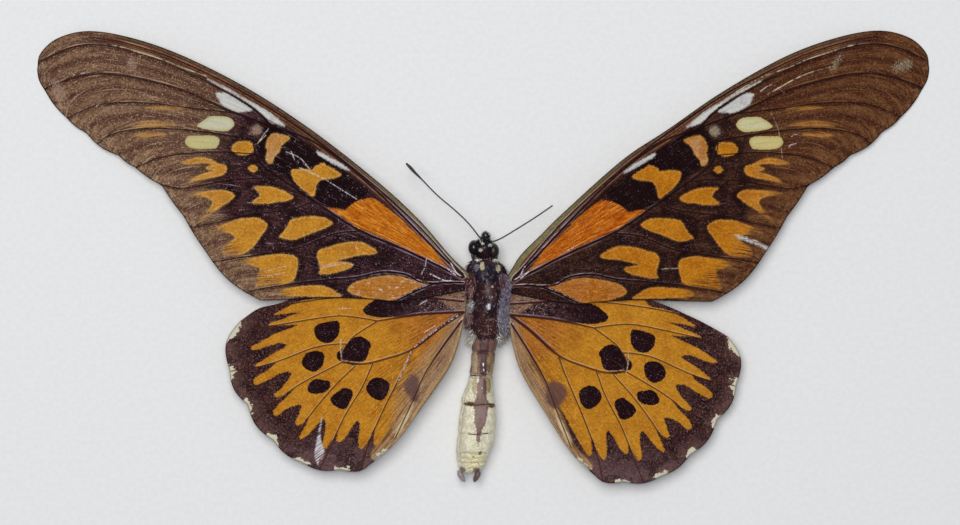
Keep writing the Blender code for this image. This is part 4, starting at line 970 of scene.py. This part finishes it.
FORE_RIGHT = {"base": "#210c0b", "warm": "#371a0c", "dust_and_sheen": "#5f4033", "tip": "#5e3a24",
              "tip_gold": "#744a22", "tip_streak": "#40180f", "fold": "#3a1510", "haze": "#7d5c3a",
              "ochre": "#b87413", "ochre_deep": "#a35c08", "ochre_pale": "#cb9446", "fan": "#b75a02",
              "fan_deep": "#983f00", "fan_pale": "#c87314", "cream": "#c8c296", "cream_low": "#c9ba7e",
              "cream_deep": "#b5a662", "lilac": "#806872", "gleam": "#a08286", "rubbed": "#a1957c",
              "spark": "#d09a58"}
HIND_TONES = {"ochre": "#bf8120", "ochre_deep": "#ae6d16", "ochre_pale": "#d6a656", "cell": "#ab6520",
              "cell_streak": "#6b330f", "border": "#2f1519", "border_warm": "#40231c",
              "border_pale": "#73564f", "border_grey": "#644b4e", "root_brown": "#4e3235",
              "spot": "#1a0509", "cream": "#d0caaf", "anal": "#927055", "anal_gold": "#a8742c",
              "anal_pale": "#b8966c", "anal_dark": "#4b3020", "tail": "#dcc79c", "ghost": "#573c3e",
              "vein": "#43210f", "vein_root": "#3c1a16", "vein_highlight": "#d3ab7a", "gleam": "#b394a2",
              "edge": "#1f1416", "lilac": "#8a7282", "scuff": "#dcd6da", "scratches_and_glints": "#dcd0c4",
              "shine": "#e0d2d8", "humeral": "#76594a"}
FORE_UNDER = {"base": "#4f3a35", "cell": "#3a2420", "tip": "#7a6450", "ochre": "#b08c50"}
HIND_UNDER = {"spot": "#3a2422", "border": "#574038", "ochre": "#b08c50", "ochre_deep": "#9c7840"}


def wing_sides(costa, notches, lobes, lower_edge):
    """The four sides of a wing's outline: front margin, lower margin, root and lobed outer margin."""
    outer = lobed_edge([costa[-1]] + notches[1:], lobes, 0.3)[::-1]
    bottom = curve_through(lower_edge, 0.5)[::-1]
    return curve_through(costa, 0.5), bottom, np.array([bottom[0], costa[0]]), outer


def build_wings():
    """Both pairs. The lower faces have the same pattern in paler, duller tones."""
    fore_under = forewing_scales("forewing_underside_scales", {**FORE_TONES, **FORE_UNDER})
    hind_under = hindwing_scales("hindwing_underside_scales", {**HIND_TONES, **HIND_UNDER})
    hind_upper = hindwing_scales("hindwing_scales", HIND_TONES)
    for side, fore_place, hind_place, fore_costa, hind_costa, own in (
            ("left", LEFT, LEFT, FORE_COSTA, HIND_COSTA, {}),
            ("right", RIGHT_FORE, RIGHT_HIND, FORE_COSTA_RIGHT, HIND_COSTA_RIGHT, FORE_RIGHT)):
        upper = forewing_scales(f"forewing_scales_{side}", {**FORE_TONES, **own})
        sides = wing_sides(fore_costa, FORE_NOTCHES, FORE_LOBES, FORE_HIND_EDGE)
        build_wing(f"forewing_{side}", sides, FORE_VEINS, fore_place, 0, forewing_fields(side),
                   [upper, fore_under], FORE_MESH, SEED)
        sides = wing_sides(hind_costa, HIND_NOTCHES, HIND_LOBES, HIND_INNER_EDGE)
        build_wing(f"hindwing_{side}", sides, HIND_VEINS, hind_place, HINDWING_DROP, hindwing_fields(side),
                   [hind_upper, hind_under], HIND_MESH, SEED + 1)


def spine_x(y):
    """The body's middle line: X at Y, along straight runs through the table."""
    return np.interp(y, *zip(*SPINE))


def table_at(rows, y):
    """The columns of a table after its first, at the places y, along a smooth curve through the rows."""
    fine = curve_through(rows, 0.25)
    return [np.interp(y, fine[:, 0], fine[:, n]) for n in range(1, fine.shape[1])]


def upright_oval(middle, half_width, low, high, angle):
    """x and z on an upright oval section. Its lowest tenth is cut off level."""
    rise = np.sin(angle)
    centre = (low + high) / 2
    z = np.where(rise > 0, centre + (high - centre) * rise,
                 centre + (low - centre) * np.minimum(-rise / 0.9, 1))
    return middle + half_width * np.cos(angle), z


def thorax_at(y, angle):
    """Upright ovals with the half width, foot and crown of the table."""
    half_width, low, high = table_at(THORAX, y)
    return upright_oval(spine_x(y), half_width, np.maximum(low, 0), high, angle)


def abdomen_at(y, angle):
    """Rings that swell between grooves: the half width and height shrink by a bell curve at each seam.
    Towards the end the dry skin lies in curved wrinkles, and a fold runs down the left side."""
    left, right, low, high = table_at(ABDOMEN, y)
    groove = np.max([np.exp(-((y - seam) / 0.3) ** 2) for seam, _, _ in SEAMS], axis=0)
    swell = 0.1 * np.cos((y + 22.5) * math.tau / 6.4)
    wrinkle = abdomen_wrinkle(y, angle)
    side = np.exp(-((np.cos(angle) + 0.86) / 0.035) ** 2) * ease(-y, 28, 34)
    half = (right - left) / 2 - 0.2 * groove - 0.16 * side
    return upright_oval((left + right) / 2, half, np.maximum(low, 0),
                        high - 0.3 * groove - swell - 0.22 * wrinkle - 0.1 * side, angle)


def abdomen_wrinkle(y, angle):
    """Sine waves along Y that bow towards the end in the middle, 0 to 1, from y = -44.4 on."""
    bow = 0.9 * np.sin(angle) + 0.35 * np.sin(angle * 5 + y)
    return (0.5 + 0.5 * np.sin((y - bow) * math.tau / 1.25)) ** 3 * ease(-y, 44.4, 46.6)


def tube_faces(rings, around):
    """Faces of a closed tube: four-sided ones between neighbouring rings and a flat one at each end."""
    n = np.arange(rings * around).reshape(rings, around)
    following = np.roll(n, -1, axis=1)
    walls = np.stack([n[:-1], n[1:], following[1:], following[:-1]], axis=-1).reshape(-1, 4)
    return walls.tolist() + [n[0].tolist(), n[-1, ::-1].tolist()]


def body_shell(at, start, end, rows, around, lumps, seed):
    """Points, faces and angles of a closed tube of upright ovals: Y runs from end to end, and a soft
    swell of the given height lifts the surface outwards."""
    angle = np.tile(np.arange(around) * math.tau / around, rows)
    y = np.repeat(np.linspace(start, end, rows), around)
    x, z = at(y, angle)
    lift = lumps * soft_swell(angle * 4, y, seed, 1.2, 5) * (np.sin(angle) > -0.5)
    x, z = x + lift * np.cos(angle), z + lift * np.sin(angle)
    return np.stack([x, y, np.maximum(z, 0)], axis=1), tube_faces(rows, around), angle


def oval_ball(centre, half, turn=(0, 0, 0), rows=36, around=48, dents=0.0, seed=1):
    """Points and faces of a closed ball: longitude and latitude on a sphere, stretched, turned about X
    and Y and moved. Each pole is a fan of triangles."""
    latitude = (np.arange(1, rows) / rows - 0.5) * math.pi
    la, lo = np.meshgrid(latitude, np.arange(around) * math.tau / around, indexing="ij")
    unit = np.stack([np.cos(la) * np.cos(lo), np.cos(la) * np.sin(lo), np.sin(la)], axis=-1).reshape(-1, 3)
    unit = np.vstack([unit, [[0, 0, -1], [0, 0, 1]]])
    swell = soft_swell(unit[:, 0] * 8 + unit[:, 2] * 5, unit[:, 1] * 8, seed, 2, 8)
    unit = unit * (1 + dents * swell)[:, None]
    p = unit * np.array(half)
    for axis, (a, b) in enumerate(((1, 2), (2, 0), (0, 1))):
        angle = math.radians(turn[axis])
        p[:, a], p[:, b] = (p[:, a] * math.cos(angle) - p[:, b] * math.sin(angle),
                            p[:, a] * math.sin(angle) + p[:, b] * math.cos(angle))
    n = np.arange((rows - 1) * around).reshape(rows - 1, around)
    following = np.roll(n, -1, axis=1)
    faces = np.stack([n[:-1], following[:-1], following[1:], n[1:]], axis=-1).reshape(-1, 4).tolist()
    faces += np.stack([np.full(around, n.size), following[0], n[0]], axis=1).tolist()
    faces += np.stack([np.full(around, n.size + 1), n[-1], following[-1]], axis=1).tolist()
    return p + np.array(centre), faces


def round_bar(points, radii, spacing, around=12, rings=0.0, flat=1.0, side=None):
    """Points and faces of a round bar along a smooth path, closed by a face at each end. The radius
    follows the table, and dips by the given part at every joint of a ringed bar. Each ring stands across
    the path, with its first axis level, or along side for a path that stays in one upright plane."""
    fine = curve_through(np.column_stack([np.array(points, float), radii]), spacing)
    path, radius = fine[:, :3], fine[:, 3]
    run = np.gradient(path, axis=0)
    run /= np.linalg.norm(run, axis=1)[:, None]
    length = np.concatenate([[0], np.cumsum(np.linalg.norm(np.diff(path, axis=0), axis=1))])
    radius = radius * (1 - rings * np.abs(np.cos(length * math.pi / ANTENNA_RING)) ** 6)
    side = np.cross(run, [0, 0, 1.0]) if side is None else np.tile(side, (len(path), 1))
    side = side / np.linalg.norm(side, axis=1)[:, None]
    lift = np.cross(side, run)
    angle = np.arange(around) * math.tau / around
    ring = np.cos(angle)[None, :, None] * side[:, None] + flat * np.sin(angle)[None, :, None] * lift[:, None]
    return (path[:, None] + ring * radius[:, None, None]).reshape(-1, 3), tube_faces(len(path), around)


def needles(roots, aims, lengths, width):
    """Hairs as closed three-sided needles: a ring at the root, a smaller ring at the bend and a point. Each
    one sags by a part of its length at its tip, and by 0.3 of that at its bend."""
    aims = aims / np.linalg.norm(aims, axis=1)[:, None]
    side = np.cross(aims, np.array([0.31, 0.2, 0.93]))
    side /= np.linalg.norm(side, axis=1)[:, None]
    lift = np.cross(aims, side)
    angle = np.arange(3) * math.tau / 3
    ring = np.cos(angle)[None, :, None] * side[:, None] + np.sin(angle)[None, :, None] * lift[:, None]
    ring = ring * np.broadcast_to(width, len(roots))[:, None, None]
    sag = np.array([0, 0, -1.0]) * (HAIR_SAG * lengths)[:, None]
    base = roots[:, None] + ring
    middle = (roots + aims * (HAIR_BEND * lengths)[:, None] + 0.3 * sag)[:, None] + ring * 0.75
    tip = (roots + aims * lengths[:, None] + sag)[:, None]
    p = np.concatenate([base, middle, tip], axis=1).reshape(-1, 3)
    first = (np.arange(len(roots)) * 7)[:, None]
    quads = np.concatenate([first + np.array(q) for q in ((0, 1, 4, 3), (1, 2, 5, 4), (2, 0, 3, 5))])
    tris = np.concatenate([first + np.array(t) for t in ((2, 1, 0), (3, 4, 6), (4, 5, 6), (5, 3, 6))])
    return p, quads.tolist() + tris.tolist()


def coat_at(x, y, coats, rng=None):
    """Tone (linear) and hair length at places seen from above. Each patch ends raggedly if rng is given."""
    tone = np.tile(np.array(linear(coats[0][1])[:3]), (len(x), 1))
    length = np.full(len(x), coats[0][2])
    for (cx, cy, rx, ry), colour, hair in coats:
        far = ((x - cx) / rx) ** 2 + ((y - cy) / ry) ** 2
        limit = rng.uniform(0.5, 1.5, len(x)) if rng is not None else 1.0
        inside = far < limit
        tone[inside], length[inside] = linear(colour)[:3], hair
    return tone, length


def coat_material(name, roughness, specular, brighten=1.0):
    """Hair and scales whose tone is painted by place, with painted highlights on bare glossy shell: each hair
    is painted darker at its root, as shade where real ones shade one another. Single hairs are too fine to
    show, so the grain is drawn at 0.4 mm."""
    material, tree, shader = new_material(name, roughness, specular)
    tint = node(tree, "Attribute", attribute_name="tint")
    place = node(tree, "TexCoord", out=3)
    grain = node(tree, "TexNoise", {"Vector": place, "Scale": 2.6 / MM, "Detail": 3.0})
    amount = node(tree, "MapRange", {"Value": grain, "From Min": 0.3, "From Max": 0.7,
                                     "To Min": 0.55 * brighten, "To Max": 1.35 * brighten})
    colour = node(tree, "VectorMath", {0: tint, 3: amount}, operation="SCALE")
    finish(tree, shader, colour, grain, 0.5, 0.1)
    return material


def abdomen_finish():
    """Flat cream scales on soft dry rings, which give a dull sheen, with a brown stripe where they are
    thin along the back, small painted highlights on the stripe, dark lines in the seams and painted shade in
    the creases. Grains 0.4 mm, blotches 1.7 mm."""
    material, tree, shader = new_material("cream_body_scales", 0.5, 0.3)
    vector = node(tree, "Attribute", out=1, attribute_name="marks")
    stripe, seam, crease = node(tree, "SeparateXYZ", {0: vector}, out=None)[:3]
    ground = node(tree, "Attribute", attribute_name="tint")
    middle = node(tree, "Attribute", attribute_name="stripe_tint")
    place = node(tree, "TexCoord", out=3)
    grain = node(tree, "TexNoise", {"Vector": place, "Scale": 2.4 / MM, "Detail": 3.0})
    blotch = node(tree, "TexNoise", {"Vector": place, "Scale": 0.6 / MM, "Detail": 3.0})
    edge = node(tree, "Math", {0: grain, 1: 0.9, 2: stripe}, operation="MULTIPLY_ADD")
    broken = node(tree, "Math", {0: seam, 1: blotch}, operation="MULTIPLY")
    colour = lay_over(tree, ground, [
        # The stripe, with its painted highlights.
        (middle, edge, 0.62, 0.36, 0.95),
        # Painted shade in the creases.
        ("#a3906c", crease, 0.3, 0.9, (blotch, 0.4, 0.52, 0.8)),
        ("#33201e", broken, 0.2, 0.42, 0.9)])
    finish(tree, shader, speckle(tree, colour, (grain, 0.16), (blotch, 0.14)), grain, 0.5, 0.12)
    return material


def horn_finish(name, tone, roughness):
    """Dry horny shell, smooth enough for a soft highlight and clouded darker about every millimetre."""
    material, tree, shader = new_material(name, roughness, 0.5)
    place = node(tree, "TexCoord", out=3)
    cloud = node(tree, "TexNoise", {"Vector": place, "Scale": 0.9 / MM, "Detail": 3.0})
    dark = node(tree, "MixRGB", {"Fac": 0.5, "Color1": linear(tone), "Color2": (0, 0, 0, 1)})
    tree.links.new(lay_over(tree, tone, [(dark, cloud, 0.4, 0.65, 0.6)]), shader.inputs["Base Color"])
    return material


def tegula_finish():
    """Long red-brown scales laid in one direction, so that the flap looks combed. Real ones are 0.1 mm
    wide, and the strands are drawn at 0.3 mm."""
    material, tree, shader = new_material("long_brown_scales", 0.5, 0.35)
    place = node(tree, "TexCoord", out=3)
    along = node(tree, "Mapping", {"Vector": place, "Scale": (1.0, 0.15, 1.0)})
    strand = node(tree, "TexNoise", {"Vector": along, "Scale": 3.6 / MM, "Detail": 3.0})
    colour = lay_over(tree, "#4a2622", [("#2a1216", strand, 0.45, 0.6, 0.8),
                                        ("#a58078", strand, 0.42, 0.3, 0.7)])
    finish(tree, shader, colour, strand, 0.7, 0.15)
    return material


def dress(name, points, faces, material, coats=None, rng=None):
    """A piece that stands for the solid of the same name, with its tint painted by place if it has coats."""
    mesh = new_mesh(name, (points * MM).tolist(), faces)
    if coats:
        write_attribute(mesh, "tint", list(coat_at(points[:, 0], points[:, 1], coats, rng)[0].T))
    add_piece(name + "_dressed", mesh, [material], [name])
    return mesh


def build_thorax(shell):
    """The thorax with the collar behind the head, under its hair."""
    points, faces, _ = body_shell(thorax_at, THORAX[0][0], THORAX[-1][0], 130, 96, 0.12, 3)
    dress("thorax", points, faces, shell, COATS)


def build_abdomen(rng):
    """The rings, with what their material reads: distance from the stripe's edge, the seams as bell
    curves, and how creased the skin is, for painted shade in the creases."""
    points, faces, angle = body_shell(abdomen_at, ABDOMEN[0][0], ABDOMEN[-1][0], 260, 128, 0.06, 5)
    x, y, z = points.T
    centre, half = table_at(STRIPE, y)
    stripe = np.where(z > 3.5, np.abs(x - centre) - half, 3.0)
    seam = np.max([np.exp(-((y - place - 0.12 * np.sin(x)) / 0.2) ** 2) * ease(x, left - 0.4, left + 0.2)
                   * ease(-x, -right - 0.4, -right + 0.2) for place, left, right in SEAMS], axis=0)
    side = np.exp(-((np.cos(angle) + 0.86) / 0.03) ** 2) * ease(-y, 28, 34) * (np.sin(angle) > 0)
    crease = np.maximum(0.75 * abdomen_wrinkle(y, angle), 0.8 * side)
    mesh = dress("abdomen", points, faces, abdomen_finish(), ABDOMEN_COATS, rng)
    # The stripe's tones, with painted highlights.
    write_attribute(mesh, "stripe_tint", list(coat_at(x, y, STRIPE_GLINTS, rng)[0].T))
    write_attribute(mesh, "marks", [stripe, seam * (z > 4), crease])


def build_head(shell):
    """The head's capsule, its eyes and the pair of scaly palps."""
    points, faces = oval_ball(HEAD["centre"], HEAD["half"], rows=48, around=64, dents=0.03, seed=4)
    dress("head", points, faces, shell, HEAD_COATS)
    for side, (centre, tone, roughness) in EYES.items():
        points, faces = oval_ball(centre, EYE_HALF, rows=40, around=56)
        dress("eye_" + side, points, faces, horn_finish("eye_lens_" + side, tone, roughness))
    for side, centre in PALPS.items():
        points, faces = oval_ball(centre, PALP_HALF, (PALP_RISE, 0, 0), 24, 24, 0.05)
        dress("palp_" + side, points, faces, shell, HEAD_COATS)


def build_antennae(horn):
    """Ringed bars. The left one swells to a club, and the right one ends where it is broken."""
    for side, path in ANTENNAE.items():
        points, faces = round_bar(path, [ANTENNA_RADIUS * swell for swell in CLUB_SWELL[side]], 0.1, 12, 0.14)
        dress("antenna_" + side, points, faces, horn)


def build_proboscis(horn):
    """A flat coil in an upright plane: the radius shrinks evenly as the angle grows."""
    t = np.linspace(0, 1, 40)
    angle = math.tau * COIL["turns"] * t + math.pi / 2
    radius = COIL["outer"] + (COIL["inner"] - COIL["outer"]) * t
    x, y, z = COIL["centre"]
    path = np.stack([x + 0.001 * t, y + radius * np.cos(angle), z + radius * np.sin(angle)], axis=1)
    points, faces = round_bar(path, np.full(40, COIL["radius"]), 1.0, 10, side=(1.0, 0, 0))
    dress("proboscis", points, faces, horn)


def build_legs(horn):
    """Six bars, folded under the body, that thin out towards the foot."""
    for leg, joints in LEGS.items():
        for side, sign in SIDES:
            path = [(float(spine_x(y)) + sign * out, y, z) for (out, y, z), _ in joints]
            points, faces = round_bar(path, [radius for _, radius in joints], 0.25)
            points[:, 2] = np.maximum(points[:, 2], 0.1)
            dress(f"{leg}_{side}", points, faces, horn)


def build_claspers():
    """The two flattened prongs at the end of the abdomen."""
    for side, tone in CLASPER_TONES.items():
        points, faces = round_bar(CLASPERS[side], CLASPER_RADII, 0.12, 24, 0, 1.35)
        dress("clasper_" + side, points, faces, horn_finish("pale_horn_" + side, tone, 0.4))


def build_tegulae():
    """The flaps over the forewing roots: flat oval balls that slope down outwards."""
    flap = tegula_finish()
    for side, sign in SIDES:
        centre = (float(spine_x(TEGULA["y"])) + sign * TEGULA["out"], TEGULA["y"], TEGULA["z"])
        points, faces = oval_ball(centre, TEGULA["half"], (0, sign * TEGULA["slope"], 0), 30, 48, 0.03)
        dress("tegula_" + side, points, faces, flap)


def add_hair(name, roots, aims, lengths, width, tones, material):
    """Needles of the given tones, each with painted shade: darker at its root and lighter towards its point.
    """
    points, faces = needles(roots, aims, lengths, width)
    points[:, 2] = np.clip(points[:, 2], HAIR_LOWEST, HAIR_HIGHEST)
    mesh = new_mesh(name, (points * MM).tolist(), faces)
    shade = np.tile(HAIR_SHADES, len(roots))[:, None]
    write_attribute(mesh, "tint", list((np.repeat(tones, len(HAIR_SHADES), axis=0) * shade).T))
    add_piece(name, mesh, [material])


def hair_tones(tone, rng, glints):
    """Hairs differ in brightness, and the given share of them are painted pale, as highlights where they
    catch the light.
    """
    tone = tone * np.clip(np.exp(rng.normal(0, 0.45, len(tone))), 0.4, 2.4)[:, None]
    tone[rng.random(len(tone)) < glints] = linear("#c4b0bc")[:3]
    return tone


def hair_on_thorax(rng, hair):
    """Short hair that lies back over the thorax, and longer tufts at its sides."""
    y = rng.uniform(-19, -0.6, THORAX_HAIRS)
    angle = rng.uniform(-0.35, math.pi + 0.35, THORAX_HAIRS)
    x, z = thorax_at(y, angle)
    tone, length = coat_at(x, y, COATS, rng)
    x, y, z, angle, tone, length = [part[length > 0.01] for part in (x, y, z, angle, tone, length)]
    outward = np.stack([np.cos(angle), 0 * angle, np.sin(angle)], axis=1)
    aims = 0.5 * outward + np.array([0, -1.0, 0]) + rng.normal(0, 0.4, (len(x), 3))
    lengths = length * rng.uniform(0.6, 1.2, len(x)) * (1 + 0.7 * (np.sin(angle) < 0.35))
    roots = np.stack([x, y, z], axis=1) - 0.05 * outward
    widths = rng.uniform(0.05, 0.095, len(x))
    add_hair("thorax_coat", roots, aims, lengths, widths, hair_tones(tone, rng, 0.05), hair)


def hair_on_head(rng, hair):
    """A thin coat all over the upper half of the head, and some of it on the palps."""
    unit = rng.normal(0, 1, (HEAD_HAIRS, 3))
    unit[:, 2] = np.abs(unit[:, 2])
    unit /= np.linalg.norm(unit, axis=1)[:, None]
    roots = unit * np.array(HEAD["half"]) + np.array(HEAD["centre"])
    roots[:PALP_HAIRS] = unit[:PALP_HAIRS] * (0.75, 1.15, 0.5) + (0.65, 4.3, 3.5)
    tone, length = coat_at(roots[:, 0], roots[:, 1], HEAD_COATS, rng)
    aims = unit + np.array([0, 0.3, 0]) + rng.normal(0, 0.4, (HEAD_HAIRS, 3))
    lengths = length * rng.uniform(0.5, 1.0, HEAD_HAIRS)
    add_hair("head_coat", roots, aims, lengths, 0.055, hair_tones(tone, rng, 0.02), hair)


def hair_on_tegulae(rng, hair):
    """Hair that lies back over the upper half of each flap, an oval tilted by its slope."""
    tilt, half = math.radians(TEGULA["slope"]), TEGULA["half"]
    for side, sign in SIDES:
        across, along = rng.uniform(-1, 1, (2, TEGULA_HAIRS)) * 0.95
        across, along = [part[across ** 2 + along ** 2 < 1] for part in (across, along)]
        bulge = np.sqrt(1 - across ** 2 - along ** 2)
        out = across * half[0] * math.cos(tilt) + bulge * half[2] * math.sin(tilt)
        up = -across * half[0] * math.sin(tilt) + bulge * half[2] * math.cos(tilt)
        roots = np.stack([float(spine_x(TEGULA["y"])) + sign * (TEGULA["out"] + out),
                          TEGULA["y"] + along * half[1], TEGULA["z"] + up], axis=1)
        tone, length = coat_at(roots[:, 0], roots[:, 1], TEGULA_COATS[side], rng)
        aims = np.array([sign * 0.25, -1.0, 0.12]) + rng.normal(0, 0.22, (len(roots), 3))
        lengths = length * rng.uniform(0.6, 1.1, len(roots))
        add_hair(f"tegula_{side}_coat", roots, aims, lengths, 0.07, hair_tones(tone, rng, 0.08), hair)


def build_body():
    """Thorax, abdomen, head and what grows on them. One generator serves all the random draws in turn."""
    rng = np.random.default_rng(SEED)
    shell = coat_material("dry_shell_under_hair", 0.42, 0.5, 0.8)
    horn = horn_finish("thin_dark_horn", "#1f1816", 0.38)
    build_thorax(shell)
    build_abdomen(rng)
    build_head(shell)
    build_antennae(horn)
    build_proboscis(horn)
    build_legs(horn)
    build_claspers()
    build_tegulae()
    hair = coat_material("matted_body_hair", 0.45, 0.3)
    hair_on_thorax(rng, hair)
    hair_on_head(rng, hair)
    hair_on_tegulae(rng, hair)


CAMERA_HEIGHT = 1.5         # above the middle of the body, m
BODY_MIDDLE = 0.004
FRAME_WIDTH = 0.2256        # width of surface that the picture takes in
FRAME_CENTRE = (-0.00066, -0.00148)
SENSOR = 36.0
CARD_HALF = 1.6


def build_camera():
    """Looks straight down, from high enough for the wings to keep their proportions."""
    data = bpy.data.cameras.new("Camera")
    data.sensor_width = SENSOR
    data.lens = SENSOR * CAMERA_HEIGHT / FRAME_WIDTH
    data.clip_end = 20
    camera = bpy.data.objects.new("Camera", data)
    camera.location = (*FRAME_CENTRE, CAMERA_HEIGHT + BODY_MIDDLE)
    bpy.context.scene.collection.objects.link(camera)
    bpy.context.scene.camera = camera


def add_light(name, location, size, power, tint):
    """A round soft box that faces the middle of the specimen."""
    data = bpy.data.lights.new(name, "AREA")
    data.shape = "DISK"
    data.size = size
    data.energy = power
    data.color = tint
    light = bpy.data.objects.new(name, data)
    light.location = location
    light.rotation_euler = (-Vector(location)).to_track_quat("-Z", "Y").to_euler()
    light.visible_camera = False
    bpy.context.scene.collection.objects.link(light)


def build_stage():
    """A pale matt card, its fibres just seen as a mottle of 1 mm, under soft light with a cooler fill from
    all round."""
    corners = [(CARD_HALF * x, CARD_HALF * y, 0) for x, y in ((-1, -1), (1, -1), (1, 1), (-1, 1))]
    floor = bpy.data.objects.new("floor", new_mesh("floor", corners, [(0, 1, 2, 3)], False))
    material, tree, shader = new_material("matt_backing_card", 0.9, 0.1)
    place = node(tree, "TexCoord", out=3)
    fibre = node(tree, "TexNoise", {"Vector": place, "Scale": 0.9 / MM, "Detail": 3.0})
    colour = lay_over(tree, "#e8e8e8", [("#ececeb", fibre, 0.3, 0.7, 1.0)])
    tree.links.new(colour, shader.inputs["Base Color"])
    floor.data.materials.append(material)
    bpy.context.scene.collection.objects.link(floor)
    add_light("soft_box", (-0.15, 0.25, 1.1), 0.9, 9.6, (1.0, 0.985, 0.96))
    add_light("ring_flash", (0.03, 0.05, 1.35), 0.12, 2.0, (1.0, 1.0, 1.0))
    world = bpy.data.worlds.new("Room")
    world.use_nodes = True
    world.node_tree.nodes["Background"].inputs["Color"].default_value = (0.78, 0.85, 1.0, 1)
    world.node_tree.nodes["Background"].inputs["Strength"].default_value = 0.25
    bpy.context.scene.world = world


def main():
    bpy.context.scene.view_settings.view_transform = "Standard"
    build_camera()
    build_stage()
    build_wings()
    build_body()


main()
